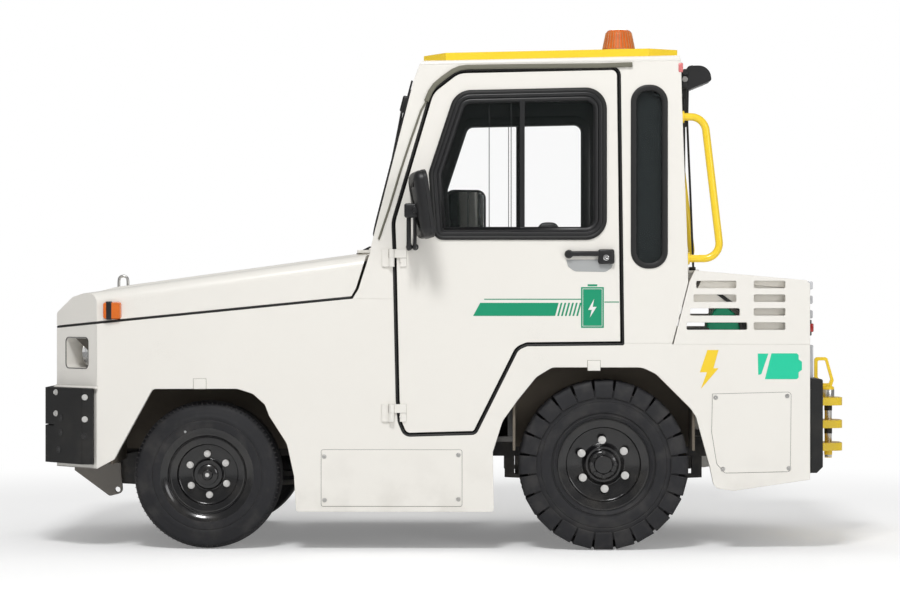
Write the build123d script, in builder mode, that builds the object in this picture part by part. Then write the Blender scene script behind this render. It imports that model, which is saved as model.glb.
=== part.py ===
from build123d import *
import os
from math import atan2, cos, hypot, radians, sin, sqrt, tan

# Airport baggage tug: a cab-over-battery electric tow tractor.
# The front faces -X, the driver's left side is -Y and up is +Z. The origin is on the ground,
# under the middle of the whole length. Every size is in millimetres.

# Driving dimensions: stance
wheelbase = 1575
rear_axle_x = 605
front_axle_x = rear_axle_x - wheelbase
body_width = 1440
half_width = body_width / 2

# Driving dimensions: wheels
front_tyre_radius = 295
front_tyre_width = 175
front_track = 1174
rear_tyre_radius = 338
rear_tyre_width = 190
rear_track = 1210

# Driving dimensions: body
nose_x = front_axle_x - 622
corner_run = 190
crease_x = nose_x + corner_run
tail_x = rear_axle_x + 811
side_wall = 30
cab_wall = 40
hood_wall = 25
hood_gap = 10
door_gap = 16
lid_gap = 6
running_gap = 0.3

# Heights of the main body lines
body_bottom_z = 322
skirt_bottom_z = 154
hood_line_front_z = 883
hood_line_crease_z = 901
hood_line_rear_z = 1001
rear_crease_z = 816
cab_back_foot_z = 820

# Cab
cowl_x = -388
cab_front_foot_x = -312
cab_front_foot_z = 1217
screen_top_x = -146
screen_top_z = 1861
roof_front_x = -124
roof_front_z = screen_top_z + 59
roof_rear_x = 908
roof_rear_z = roof_front_z + 15
cab_back_x = 936
cab_back_z = 1130
cab_back_top_x = 913
cab_back_top_z = roof_rear_z - 193
cab_tail_x = 874

# Running gear
rail_inner_y, rail_outer_y = 240, 300
rail_bottom_z, rail_height, rail_kick = 350, 80, 80
rail_top_z = rail_bottom_z + rail_height
king_pin_y = 470
king_pin_radius = 12
pin_play = 0.05
front_spindle_radius = 22
rear_shaft_radius = 30
steer_arm_length = 170
tie_rod_z = 276

# Fittings
glass_thickness = 6
tube_radius = 15
hitch_pin_x = tail_x + 167
hitch_pin_radius = 15
hitch_pin_play = 0.5

os.makedirs("parts", exist_ok=True)


def outline(rows, grow=0.0):
    """Closed flat face from rows of across, up and corner radius, grown or shrunk all round."""
    with BuildSketch() as face:
        with BuildLine():
            FilletPolyline([(across, up) for across, up, radius in rows],
                           radius=[radius for across, up, radius in rows], close=True)
        make_face()
        if grow:
            offset(amount=grow)
    return face.sketch


def side_plane(distance):
    """Upright plane along the left side, at this distance out from the middle."""
    return Plane.XZ.offset(distance)


# Outlines of the side, as rows of x, z and corner radius

# Front wheel arch, from the crease to the foot of the skirt
front_arch = [
    (crease_x, body_bottom_z, 0),
    (front_axle_x - 362, 360, 0),
    (front_axle_x - 341, 400, 0),
    (front_axle_x - 210, 639, 20),
    (front_axle_x + 125, 640, 60),
    (front_axle_x + 188, 620, 40),
    (front_axle_x + 235, 577, 20),
    (front_axle_x + 251, 534, 0),
    (front_axle_x + 322, 423, 60),
    (front_axle_x + 350, 296, 0),
    (front_axle_x + 358, skirt_bottom_z, 12),
]

# Rear wheel arch, from the foot of the skirt to the tail
rear_arch = [
    (rear_axle_x - 435, skirt_bottom_z, 12),
    (rear_axle_x - 439, 391, 0),
    (rear_axle_x - 400, 514, 60),
    (rear_axle_x - 340, 597, 0),
    (rear_axle_x - 267, 687, 40),
    (rear_axle_x - 205, 725, 40),
    (rear_axle_x + 150, 725, 80),
    (rear_axle_x + 205, 699, 60),
    (rear_axle_x + 343, 561, 60),
    (rear_axle_x + 363, 529, 0),
    (rear_axle_x + 417, 332, 0),
    (rear_axle_x + 434, 250, 30),
    (rear_axle_x + 509, 238, 30),
    (tail_x, 283, 0),
]

# Middle of the gap round the left door
door_front_x = -216
door_rear_x = 677
door_line = [
    (door_front_x + 36, 458, 30),
    (95, 466, 20),
    (262, 800, 50),
    (300, 816, 30),
    (door_rear_x, 820, 0),
    (door_rear_x - 14, roof_rear_z - 28, 30),
    (door_front_x + 246, roof_front_z - 26, 90),
    (door_front_x + 141, roof_front_z - 107, 90),
    (door_front_x - 11, 1300, 120),
    (door_front_x - 7, 1201, 0),
    (door_front_x + 6, 597, 60),
    (door_front_x + 14, 510, 40),
]

# Seam between the body side and the cab side runs inside the doorway from here
seam_x = 100

body_side = (
    [(crease_x, hood_line_crease_z - hood_gap / 2, 0)]
    + front_arch
    + rear_arch
    + [
        (tail_x, rear_crease_z, 0),
        (cab_tail_x, rear_crease_z, 0),
        (cab_tail_x, cab_back_foot_z, 0),
        (seam_x, cab_back_foot_z, 0),
        (seam_x, hood_line_rear_z - hood_gap / 2, 0),
        (cowl_x, hood_line_rear_z - hood_gap / 2, 0),
    ]
)

# Front edge of the cab, from the hood line up to the roof
cab_front_edge = [
    (cowl_x, hood_line_rear_z - hood_gap / 2, 0),
    (cowl_x + 23, 1034, 20),
    (cowl_x + 68, 1175, 0),
    (cab_front_foot_x, cab_front_foot_z, 60),
    (screen_top_x, screen_top_z, 40),
    (roof_front_x, roof_front_z, 0),
]

cab_side = cab_front_edge + [
    (roof_rear_x, roof_rear_z, 0),
    (cab_back_top_x, cab_back_top_z, 0),
    (cab_back_x, cab_back_z, 40),
    (cab_back_x, 1059, 20),
    (cab_tail_x, cab_back_foot_z, 0),
    (seam_x, cab_back_foot_z, 0),
    (seam_x, hood_line_rear_z - hood_gap / 2, 0),
]

quarter_window = [
    (722, roof_rear_z - 107, 56),
    (844, roof_rear_z - 107, 56),
    (844, 1127, 56),
    (722, 1127, 56),
]

# Hinges of the doors: height of the middle, and the leaf's half height
door_hinge_x = -233
hinge_radius = 11
hinge_pin_radius = 5
hinge_y = half_width + hinge_radius + 1
hinge_half = 35
lower_hinge_z, upper_hinge_z = 545, 1157


def fixed_hinge(z):
    """Fixed half of a left door hinge: leaf, lower barrel and the pin that stands in it."""
    leaf_end = door_hinge_x - hinge_radius - 2
    with Locations((leaf_end - 13, -half_width - 3, z)):
        Box(26, 8, 2 * hinge_half)
    with Locations((door_hinge_x - hinge_radius, -half_width - 4, z - hinge_half / 2)):
        Box(2 * hinge_radius, 6, hinge_half, align=(Align.CENTER, Align.CENTER, Align.CENTER))
    with Locations((door_hinge_x, -hinge_y, z - hinge_half)):
        Cylinder(hinge_radius, hinge_half, align=(Align.CENTER, Align.CENTER, Align.MIN))
        Cylinder(hinge_pin_radius, 2 * hinge_half - 4, align=(Align.CENTER, Align.CENTER, Align.MIN))


# Body: left and right lower sides, one plate each
with BuildPart() as body_sides:
    with BuildSketch(side_plane(half_width)):
        add(outline(body_side))
        add(outline(door_line, door_gap / 2), mode=Mode.SUBTRACT)
    extrude(amount=-side_wall)
    fixed_hinge(lower_hinge_z)
    mirror(about=Plane.XZ)
body_sides.part.label = "body_sides"
export_step(body_sides.part, "parts/body_sides.step")

# Cab: left and right sides with the doorways and the quarter windows
with BuildPart() as cab_sides:
    with BuildSketch(side_plane(half_width)):
        add(outline(cab_side))
        add(outline(door_line, door_gap / 2), mode=Mode.SUBTRACT)
        add(outline(quarter_window), mode=Mode.SUBTRACT)
    extrude(amount=-cab_wall)
    fixed_hinge(upper_hinge_z)
    mirror(about=Plane.XZ)
cab_sides.part.label = "cab_sides"
export_step(cab_sides.part, "parts/cab_sides.step")

# Nose: front panel, both chamfered corners and the bottom plate with the lashing eyes
corner_shift = side_wall * sqrt(2)
nose_plan = [
    (crease_x, -half_width, 0),
    (nose_x, corner_run - half_width, 0),
    (nose_x, half_width - corner_run, 0),
    (crease_x, half_width, 0),
]
nose_plan_inner = [
    (crease_x + 1, corner_shift - half_width - 1, 0),
    (nose_x + side_wall, corner_shift + corner_run - side_wall - half_width, 0),
    (nose_x + side_wall, half_width - corner_shift - corner_run + side_wall, 0),
    (crease_x + 1, half_width - corner_shift + 1, 0),
]
nose_side = [
    (nose_x - 1, body_bottom_z - 1, 0),
    (nose_x - 1, hood_line_front_z - hood_gap / 2, 0),
    (crease_x, hood_line_crease_z - hood_gap / 2, 0),
    (crease_x, body_bottom_z - 1, 0),
]
nose_plate = 12
lashing_eye_x, lashing_eye_z, lashing_eye_radius = nose_x + 220, 214, 11
lashing_bracket = [
    (nose_x + 43, body_bottom_z + 2, 0),
    (nose_x + 43, 293, 0),
    (nose_x + 187, 187, 16),
    (nose_x + 240, 200, 20),
    (nose_x + 232, body_bottom_z + 2, 0),
]
lashing_eye_y, lashing_plate = 345, 20
headlamp_width, headlamp_height, headlamp_z = 154, 126, 780
corner_middle_x, corner_middle_y = crease_x - corner_run / 2 + 2, half_width - corner_run / 2 + 2
with BuildPart() as nose:
    with BuildSketch(Plane.XY.offset(body_bottom_z)):
        add(outline(nose_plan))
    extrude(amount=hood_line_crease_z - body_bottom_z)
    with BuildSketch(Plane.XY.offset(body_bottom_z + nose_plate)):
        add(outline(nose_plan_inner))
    extrude(amount=hood_line_crease_z - body_bottom_z, mode=Mode.SUBTRACT)
    with BuildSketch(Plane.XZ):
        add(outline(nose_side))
    extrude(amount=half_width, both=True, mode=Mode.INTERSECT)
    for side in (-1, 1):
        with BuildSketch(Plane(origin=(corner_middle_x, side * corner_middle_y, headlamp_z),
                               x_dir=(1, side, 0), z_dir=(-1, side, 0))):
            RectangleRounded(headlamp_width, headlamp_height, 20)
        extrude(amount=2 * side_wall, both=True, mode=Mode.SUBTRACT)
        with BuildSketch(side_plane(-side * lashing_eye_y)):
            add(outline(lashing_bracket))
            with Locations((lashing_eye_x, lashing_eye_z)):
                Circle(lashing_eye_radius, mode=Mode.SUBTRACT)
        extrude(amount=lashing_plate / 2, both=True)
nose.part.label = "nose"
export_step(nose.part, "parts/nose.step")

# Hood: one moulded shell, chamfered with the nose, with a raised middle and rounded shoulders
hood_bottom = hood_gap / 2
hood_knee_x, hood_knee_z = nose_x + 222, 1044
hood_back_x, hood_back_z = cowl_x + 57, 1186
hood_slope = (hood_back_z - hood_knee_z) / (hood_back_x - hood_knee_x)
hood_ridge_drop = 14
hood_ridge_y = 430
hood_shoulder = 50
hood_rows = [
    (nose_x, hood_line_front_z + hood_bottom, 0),
    (nose_x, hood_line_front_z + 57, 20),
    (nose_x + 76, 1003, 40),
    (hood_knee_x, hood_knee_z, 200),
    (hood_back_x, hood_back_z, 0),
    (hood_back_x, hood_back_z - 8, 0),
    (cowl_x + 13, 1038, 20),
    (cowl_x - 5, hood_line_rear_z + hood_bottom, 0),
    (crease_x, hood_line_crease_z + hood_bottom, 0),
]
hood_hinge_x, hood_hinge_z, hood_hinge_radius = hood_back_x + 2, hood_back_z + 10, 7
hood_hinge_y, hood_hinge_length = 430, 40


def hood_prism(inset, raised):
    """Rounded cross-section of the hood, drawn out along its slope, set in by this much."""
    top = hood_back_z - hood_slope * hood_back_x - inset
    side = half_width - inset
    ridge_foot_y = hood_ridge_y + 2 * hood_ridge_drop
    ridge = [
        (-ridge_foot_y, top - hood_ridge_drop, 20),
        (-hood_ridge_y, top, 20),
        (hood_ridge_y, top, 20),
        (ridge_foot_y, top - hood_ridge_drop, 20),
    ]
    rows = [
        (-side, hood_line_front_z / 2, 0),
        (-side, top - hood_ridge_drop, hood_shoulder - inset),
        (side, top - hood_ridge_drop, hood_shoulder - inset),
        (side, hood_line_front_z / 2, 0),
    ]
    if raised:
        rows[2:2] = ridge
    with BuildPart() as prism:
        with BuildSketch(Plane.YZ):
            add(outline(rows))
        extrude(amount=-nose_x * 1.1, dir=(-1, 0, -hood_slope))
    return prism.part


def hood_plan(inset):
    """Upright prism of the hood's plan, set in by this much."""
    notch = inset * tan(radians(22.5))
    rows = [
        (crease_x + notch, inset - half_width, 0),
        (nose_x + inset, corner_run + notch - half_width, 0),
        (nose_x + inset, half_width - corner_run - notch, 0),
        (crease_x + notch, half_width - inset, 0),
        (0, half_width - inset, 0),
        (0, inset - half_width, 0),
    ]
    with BuildPart() as prism:
        with BuildSketch():
            add(outline(rows))
        extrude(amount=2 * hood_back_z)
    return prism.part


with BuildPart() as hood_hollow:
    with BuildSketch(Plane.XZ):
        for along, up in [(0, 0), (0, -2 * hood_wall), (2 * hood_wall, -2 * hood_wall), (2 * hood_wall, 0)]:
            with Locations((along, up)):
                add(outline(hood_rows, -hood_wall))
    extrude(amount=half_width, both=True)
    add(hood_prism(hood_wall, False), mode=Mode.INTERSECT)
    add(hood_plan(hood_wall), mode=Mode.INTERSECT)

with BuildPart() as hood:
    with BuildSketch(Plane.XZ):
        add(outline(hood_rows))
    extrude(amount=half_width, both=True)
    add(hood_prism(0, True), mode=Mode.INTERSECT)
    add(hood_plan(0), mode=Mode.INTERSECT)
    add(hood_hollow.part, mode=Mode.SUBTRACT)
    for across in (-hood_hinge_y, hood_hinge_y):
        with Locations(Location((hood_hinge_x, across, hood_hinge_z), (90, 0, 0))):
            Cylinder(hood_hinge_radius, hood_hinge_length)
        with Locations((hood_hinge_x - 28, across, hood_hinge_z - 8)):
            Box(54, hood_hinge_length, 12)
hood.part.label = "hood"
export_step(hood.part, "parts/hood.step")

# Indicators: an amber lamp low on each side of the hood
indicator_x, indicator_z = crease_x + 62, 949
indicator_length, indicator_height, indicator_depth = 74, 70, 20
with BuildPart() as indicators:
    with BuildSketch(side_plane(half_width)):
        with Locations((indicator_x, indicator_z)):
            RectangleRounded(indicator_length, indicator_height, 12)
    extrude(amount=indicator_depth, taper=12)
    mirror(about=Plane.XZ)
indicators.part.label = "indicators"
export_step(indicators.part, "parts/indicators.step")

# Headlamps: a plain lamp body set back in each chamfered corner
lamp_setback, lamp_depth = 12, 60
with BuildPart() as headlamps:
    lamp_plane = Plane(origin=(corner_middle_x, -corner_middle_y, headlamp_z),
                       x_dir=(1, -1, 0), z_dir=(-1, -1, 0))
    with BuildSketch(lamp_plane.offset(-lamp_setback)):
        RectangleRounded(headlamp_width, headlamp_height, 20)
    extrude(amount=-lamp_depth)
    mirror(about=Plane.XZ)
headlamps.part.label = "headlamps"
export_step(headlamps.part, "parts/headlamps.step")

# Bumpers: two stacked rubber bars round the nose, and two rubber blocks on the tail
bumper_depth, bumper_bottom_z, bumper_top_z, bumper_split_z = 45, 340, 640, 488
bumper_notch = bumper_depth * tan(radians(22.5))
bumper_end_x, bumper_end_y = crease_x - 12, half_width + 6
front_bumper_plan = [
    (nose_x - bumper_depth, corner_run - bumper_notch - half_width, 30),
    (nose_x - bumper_depth, half_width - corner_run + bumper_notch, 30),
    (crease_x - bumper_depth * sqrt(2) + bumper_end_y - half_width, bumper_end_y, 14),
    (bumper_end_x, bumper_end_y, 0),
    (bumper_end_x, half_width - crease_x + bumper_end_x, 0),
    (nose_x, half_width - corner_run, 0),
    (nose_x, corner_run - half_width, 0),
    (bumper_end_x, crease_x - bumper_end_x - half_width, 0),
    (bumper_end_x, -bumper_end_y, 0),
    (crease_x - bumper_depth * sqrt(2) + bumper_end_y - half_width, -bumper_end_y, 14),
]
split_groove, split_depth = 5, 12
rear_block_depth, rear_block_inner_y, rear_block_outer_y = 53, 330, 700
rear_block_bottom_z, rear_block_top_z, rear_block_cut = 308, 679, 24
with BuildPart() as bumpers:
    with BuildSketch(Plane.XY.offset(bumper_bottom_z)):
        add(outline(front_bumper_plan))
    extrude(amount=bumper_top_z - bumper_bottom_z)
    with BuildSketch(Plane.XY.offset(bumper_split_z)):
        add(outline(front_bumper_plan))
        add(outline(front_bumper_plan, -split_depth), mode=Mode.SUBTRACT)
        with Locations((nose_x / 2, 0)):
            Rectangle(-nose_x, 4 * half_width, mode=Mode.SUBTRACT)
    extrude(amount=split_groove, mode=Mode.SUBTRACT)
    for start_y in (rear_block_outer_y, -rear_block_inner_y):
        with BuildSketch(side_plane(start_y)):
            add(outline([(tail_x, rear_block_bottom_z, 0), (tail_x, rear_block_top_z, 0),
                         (tail_x + rear_block_depth, rear_block_top_z, 8),
                         (tail_x + rear_block_depth, rear_block_bottom_z + rear_block_cut, 0),
                         (tail_x + rear_block_depth - rear_block_cut, rear_block_bottom_z, 0)]))
        extrude(amount=rear_block_inner_y - rear_block_outer_y)
bumpers.part.label = "bumpers"
export_step(bumpers.part, "parts/bumpers.step")

# Cab front: cowl and windscreen frame between the cab sides
screen_lean = atan2(screen_top_x - cab_front_foot_x, screen_top_z - cab_front_foot_z)
screen_middle = ((screen_top_x + cab_front_foot_x) / 2, 0, (screen_top_z + cab_front_foot_z) / 2)
screen_plane = Plane(origin=screen_middle, x_dir=(0, 1, 0), z_dir=(-cos(screen_lean), 0, sin(screen_lean)))
screen_border, screen_width, screen_radius = 52, 1200, 60
screen_height = hypot(screen_top_x - cab_front_foot_x, screen_top_z - cab_front_foot_z) - 2 * screen_border
cab_inner_y = half_width - cab_wall
front_wall = cab_wall / cos(screen_lean)
cab_front_inner = [(x + front_wall, z, radius) for x, z, radius in reversed(cab_front_edge)]
with BuildPart() as cab_front:
    with BuildSketch(Plane.XZ):
        add(outline(cab_front_edge + cab_front_inner))
    extrude(amount=cab_inner_y, both=True)
    with BuildSketch(screen_plane):
        RectangleRounded(screen_width, screen_height, screen_radius)
    extrude(amount=2 * cab_wall, both=True, mode=Mode.SUBTRACT)
    for across in (-hood_hinge_y, hood_hinge_y):
        fixed_y = across + hood_hinge_length + running_gap
        with Locations((hood_hinge_x + 14, fixed_y, hood_hinge_z - 2)):
            Box(34, hood_hinge_length, 6)
        with Locations(Location((hood_hinge_x, fixed_y, hood_hinge_z), (90, 0, 0))):
            Cylinder(hood_hinge_radius, hood_hinge_length)
cab_front.part.label = "cab_front"
export_step(cab_front.part, "parts/cab_front.step")

# Deck: top face of the rear body, which slopes down to the tail
deck_front_x, deck_front_z = 963, 1108
deck_rear_x, deck_rear_z = 1402, 1069
deck_slope = (deck_rear_z - deck_front_z) / (deck_rear_x - deck_front_x)
deck_wall, deck_flange, deck_ledge = 25, 640, 615
panel_front_x = tail_x - side_wall


def deck_z(x):
    """Height of the deck's top face at this place along the vehicle."""
    return deck_front_z + deck_slope * (x - deck_front_x)


# Rear lid's place, and its hinge behind the cab
lid_front_x, lid_rear_x = deck_front_x + 16, panel_front_x - lid_gap
lid_half_width = deck_flange - lid_gap
lid_hinge_x, lid_hinge_radius = deck_front_x - 6, 9
lid_hinge_z = deck_z(lid_front_x) + lid_hinge_radius
lid_hinge_y, lid_hinge_length = 380, 60

# Cab back: the rear wall with its window
platform_z = 765
back_window_width, back_window_bottom_z, back_window_top_z = 1040, 1300, roof_rear_z - 135
cab_back_outer = [
    (cab_tail_x, platform_z, 0),
    (cab_tail_x, cab_back_foot_z, 0),
    (cab_back_x, 1059, 20),
    (cab_back_x, cab_back_z, 40),
    (cab_back_top_x, cab_back_top_z, 0),
    (roof_rear_x, roof_rear_z, 0),
]
roof_seat_slope = (roof_rear_z - roof_front_z) / (roof_rear_x - roof_front_x)
cab_back_inner = [(roof_rear_x - cab_wall, roof_rear_z - cab_wall * roof_seat_slope, 0)]
cab_back_inner += [(x - cab_wall, z, radius) for x, z, radius in reversed(cab_back_outer[:-1])]
with BuildPart() as cab_back:
    with BuildSketch(Plane.XZ):
        add(outline(cab_back_outer + cab_back_inner))
    extrude(amount=cab_inner_y, both=True)
    with BuildSketch(Plane.YZ.offset(cab_back_top_x)):
        with Locations((0, (back_window_bottom_z + back_window_top_z) / 2)):
            RectangleRounded(back_window_width, back_window_top_z - back_window_bottom_z, screen_radius)
    extrude(amount=2 * cab_wall, both=True, mode=Mode.SUBTRACT)
    for across in (-lid_hinge_y, lid_hinge_y):
        fixed_y = across + lid_hinge_length + running_gap
        with Locations(Location((lid_hinge_x, fixed_y, lid_hinge_z), (90, 0, 0))):
            Cylinder(lid_hinge_radius, lid_hinge_length)
        with Locations((cab_back_x + 8, fixed_y, lid_hinge_z + 4)):
            Box(24, lid_hinge_length, 8)
cab_back.part.label = "cab_back"
export_step(cab_back.part, "parts/cab_back.step")

# Cab glass: windscreen, rear window and the two quarter windows
glass_gap = 0.2
with BuildPart() as cab_glass:
    with BuildSketch(screen_plane.offset(-cab_wall / 2)):
        RectangleRounded(screen_width - 2 * glass_gap, screen_height - 2 * glass_gap, screen_radius)
    extrude(amount=glass_thickness)
    with BuildSketch(Plane.YZ.offset(cab_back_top_x - cab_wall / 2)):
        with Locations((0, (back_window_bottom_z + back_window_top_z) / 2)):
            RectangleRounded(back_window_width - 2 * glass_gap,
                             back_window_top_z - back_window_bottom_z - 2 * glass_gap, screen_radius)
    extrude(amount=glass_thickness)
    for middle in (half_width - cab_wall / 2, -half_width + cab_wall / 2 + glass_thickness):
        with BuildSketch(side_plane(middle)):
            add(outline(quarter_window, -glass_gap))
        extrude(amount=-glass_thickness)
cab_glass.part.label = "cab_glass"
export_step(cab_glass.part, "parts/cab_glass.step")

# Roof: skin over the cab sides, with the lining that drops between them
plate_front_x, plate_front_z = roof_front_x + 14, roof_front_z + 17
plate_rear_x, plate_rear_z = roof_rear_x - 7, roof_rear_z + 22
plate_thickness = 30
roof_edge_radius = 14
roof_lining_drop, roof_lining_bite = 26, 4
with BuildPart() as cab_roof:
    with BuildSketch(Plane.XZ):
        add(outline([(roof_front_x, roof_front_z, 0), (plate_front_x, plate_front_z, 0),
                     (plate_rear_x, plate_rear_z, 0), (roof_rear_x, roof_rear_z, 0)]))
    extrude(amount=half_width, both=True)
    roof_edges = [edge for edge in cab_roof.edges()
                  if abs(edge.center().Y) > half_width - 1 and abs(edge.tangent_at(0.5).X) > 0.9
                  and edge.center().Z > (plate_front_z + plate_rear_z) / 2 - 5]
    fillet(roof_edges, roof_edge_radius)
    with BuildSketch(Plane.XZ):
        lining_front_x = roof_front_x + front_wall + running_gap
        lining_rear_x = roof_rear_x - cab_wall - running_gap
        add(outline([(lining_front_x, roof_front_z - roof_lining_drop, 0),
                     (lining_front_x, roof_front_z + roof_lining_bite, 0),
                     (lining_rear_x, roof_rear_z + roof_lining_bite, 0),
                     (lining_rear_x, roof_rear_z - roof_lining_drop, 0)]))
    extrude(amount=cab_inner_y, both=True)
cab_roof.part.label = "cab_roof"
export_step(cab_roof.part, "parts/cab_roof.step")

# Roof plate: the yellow sheet on top, cut back at its corners
plate_half_width, plate_corner_x, plate_corner_y = 705, 90, 120
with BuildPart() as roof_plate:
    with BuildSketch(Plane.XZ):
        add(outline([(plate_front_x, plate_front_z, 0), (plate_front_x, plate_front_z + plate_thickness, 0),
                     (plate_rear_x, plate_rear_z + plate_thickness, 0), (plate_rear_x, plate_rear_z, 0)]))
    extrude(amount=plate_half_width, both=True)
    with BuildSketch(Plane.XY.offset(plate_front_z - plate_thickness)):
        with Locations(((plate_front_x + plate_rear_x) / 2, 0)):
            Rectangle(plate_rear_x - plate_front_x, 2 * plate_half_width)
        chamfer(vertices(), plate_corner_y, plate_corner_x)
    extrude(amount=4 * plate_thickness, mode=Mode.INTERSECT)
roof_plate.part.label = "roof_plate"
export_step(roof_plate.part, "parts/roof_plate.step")

# Rear body: upper sides with louvre slots, a top flange and the ledge that carries the lid
rear_side = [
    (cab_tail_x + 4, rear_crease_z, 0),
    (cab_back_x + 4, 1060, 20),
    (deck_front_x, deck_front_z, 0),
    (deck_rear_x, deck_rear_z, 0),
    (tail_x, deck_rear_z - 14, 0),
    (tail_x, rear_crease_z, 0),
]
slot_height, slot_radius = 29, 6
# Slot rows: height, then the ends of the front slot and of the rear slot
louvre_rows = [
    (1052, 968, 1126, 1195, 1319),
    (998, 958, 1126, 1195, 1319),
    (944, 944, 1140, 1195, 1319),
    (888, 930, 1169, 1195, 1319),
]


def deck_strip(front_x, rear_x, drop, thickness):
    """Side outline of a strip that lies along the deck, this far under its top face."""
    return outline([(front_x, deck_z(front_x) - drop, 0), (rear_x, deck_z(rear_x) - drop, 0),
                    (rear_x, deck_z(rear_x) - drop - thickness, 0),
                    (front_x, deck_z(front_x) - drop - thickness, 0)])


with BuildPart() as rear_sides:
    with BuildSketch(side_plane(half_width)):
        add(outline(rear_side))
        for slot_z, front_start, front_end, rear_start, rear_end in louvre_rows:
            with Locations(((front_start + front_end) / 2, slot_z)):
                RectangleRounded(front_end - front_start, slot_height, slot_radius, mode=Mode.SUBTRACT)
            with Locations(((rear_start + rear_end) / 2, slot_z)):
                RectangleRounded(rear_end - rear_start, slot_height, slot_radius, mode=Mode.SUBTRACT)
    extrude(amount=-side_wall)
    with BuildSketch(side_plane(half_width - side_wall)):
        add(deck_strip(deck_front_x, panel_front_x, 0, deck_wall))
    extrude(amount=side_wall + deck_flange - half_width)
    with BuildSketch(side_plane(half_width - side_wall)):
        add(deck_strip(deck_front_x, panel_front_x, deck_wall, 12))
    extrude(amount=side_wall + deck_ledge - half_width)
    mirror(about=Plane.XZ)
rear_sides.part.label = "rear_sides"
export_step(rear_sides.part, "parts/rear_sides.step")

# Rear panel: closes the tail between the sides
rear_panel_rows = [
    (panel_front_x, 283, 0),
    (panel_front_x, deck_z(panel_front_x), 0),
    (deck_rear_x, deck_rear_z, 0),
    (tail_x, deck_rear_z - 14, 0),
    (tail_x, 283, 0),
]
with BuildPart() as rear_panel:
    with BuildSketch(Plane.XZ):
        add(outline(rear_panel_rows))
    extrude(amount=half_width - side_wall, both=True)
rear_panel.part.label = "rear_panel"
export_step(rear_panel.part, "parts/rear_panel.step")

# Rear lid: hinged at its front edge, behind the cab
with BuildPart() as rear_lid:
    with BuildSketch(Plane.XZ):
        add(deck_strip(lid_front_x, lid_rear_x, 0, deck_wall - running_gap))
    extrude(amount=lid_half_width, both=True)
    for across in (-lid_hinge_y, lid_hinge_y):
        with Locations(Location((lid_hinge_x, across, lid_hinge_z), (90, 0, 0))):
            Cylinder(lid_hinge_radius, lid_hinge_length)
        with Locations((lid_hinge_x + 24, across, lid_hinge_z - 8)):
            Box(46, lid_hinge_length, 14)
rear_lid.part.label = "rear_lid"
export_step(rear_lid.part, "parts/rear_lid.step")

# Cab floor: bulkhead, footwell, step over the rear axle, seat boxes and seat back frames
floor_bottom_z, floor_plate = rail_top_z, 20
step_x = 225
bulkhead_x = cowl_x
seat_y, seat_width = 300, 440
seat_front_x, seat_rear_x, seat_box_z = 10, 415, 800
seat_box_width, seat_box_bite, back_frame_top_z = seat_width - 40, 5, 1280
floor_half_width = half_width - side_wall
platform_half_width = cab_inner_y - 5
with BuildPart() as cab_floor:
    with BuildSketch(Plane.XZ):
        add(outline([(bulkhead_x, floor_bottom_z, 0), (bulkhead_x, hood_line_rear_z - hood_gap / 2, 0),
                     (bulkhead_x + floor_plate, hood_line_rear_z - hood_gap / 2, 0),
                     (bulkhead_x + floor_plate, floor_bottom_z + floor_plate, 0),
                     (step_x + floor_plate, floor_bottom_z + floor_plate, 0),
                     (step_x + floor_plate, floor_bottom_z, 0)]))
    extrude(amount=floor_half_width, both=True)
    with BuildSketch(Plane.XZ):
        add(outline([(step_x, floor_bottom_z + floor_plate / 2, 0), (step_x, platform_z, 0),
                     (cab_tail_x, platform_z, 0), (cab_tail_x, platform_z - floor_plate, 0),
                     (step_x + floor_plate, platform_z - floor_plate, 0),
                     (step_x + floor_plate, floor_bottom_z + floor_plate / 2, 0)]))
    extrude(amount=platform_half_width, both=True)
    for across in (-seat_y, seat_y):
        with Locations(((seat_front_x + step_x) / 2, across, seat_box_z)):
            Box(step_x - seat_front_x + 2 * seat_box_bite, seat_box_width,
                seat_box_z - floor_bottom_z - seat_box_bite, align=(Align.CENTER, Align.CENTER, Align.MAX))
        with Locations(((seat_front_x + seat_rear_x) / 2, across, seat_box_z)):
            Box(seat_rear_x - seat_front_x, seat_box_width, seat_box_z - platform_z + seat_box_bite,
                align=(Align.CENTER, Align.CENTER, Align.MAX))
        with BuildSketch(Plane.XZ.offset(-across)):
            add(outline([(seat_rear_x - 13, seat_box_z - 8, 0), (seat_rear_x + 40, back_frame_top_z, 0),
                         (seat_rear_x + 54, back_frame_top_z, 0), (seat_rear_x + 2, seat_box_z - 8, 0)]))
        extrude(amount=seat_width / 3, both=True)
cab_floor.part.label = "cab_floor"
export_step(cab_floor.part, "parts/cab_floor.step")

# Seats: plain closed solids for the cushions and the backs
pad_base_z = seat_box_z + running_gap
with BuildPart() as seat_pads:
    for across in (-seat_y, seat_y):
        with BuildSketch(Plane.XZ.offset(-across)):
            add(outline([(seat_front_x, pad_base_z, 20), (seat_front_x - 8, pad_base_z + 100, 30),
                         (seat_rear_x - 98, pad_base_z + 86, 10), (seat_rear_x - 92, pad_base_z, 0)]))
            add(outline([(seat_rear_x - 90, pad_base_z, 12), (seat_rear_x - 72, pad_base_z + 516, 35),
                         (seat_rear_x + 28, pad_base_z + 516, 35), (seat_rear_x - 13, pad_base_z, 0)]))
        extrude(amount=seat_width / 2, both=True)
seat_pads.part.label = "seat_pads"
export_step(seat_pads.part, "parts/seat_pads.step")

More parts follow.
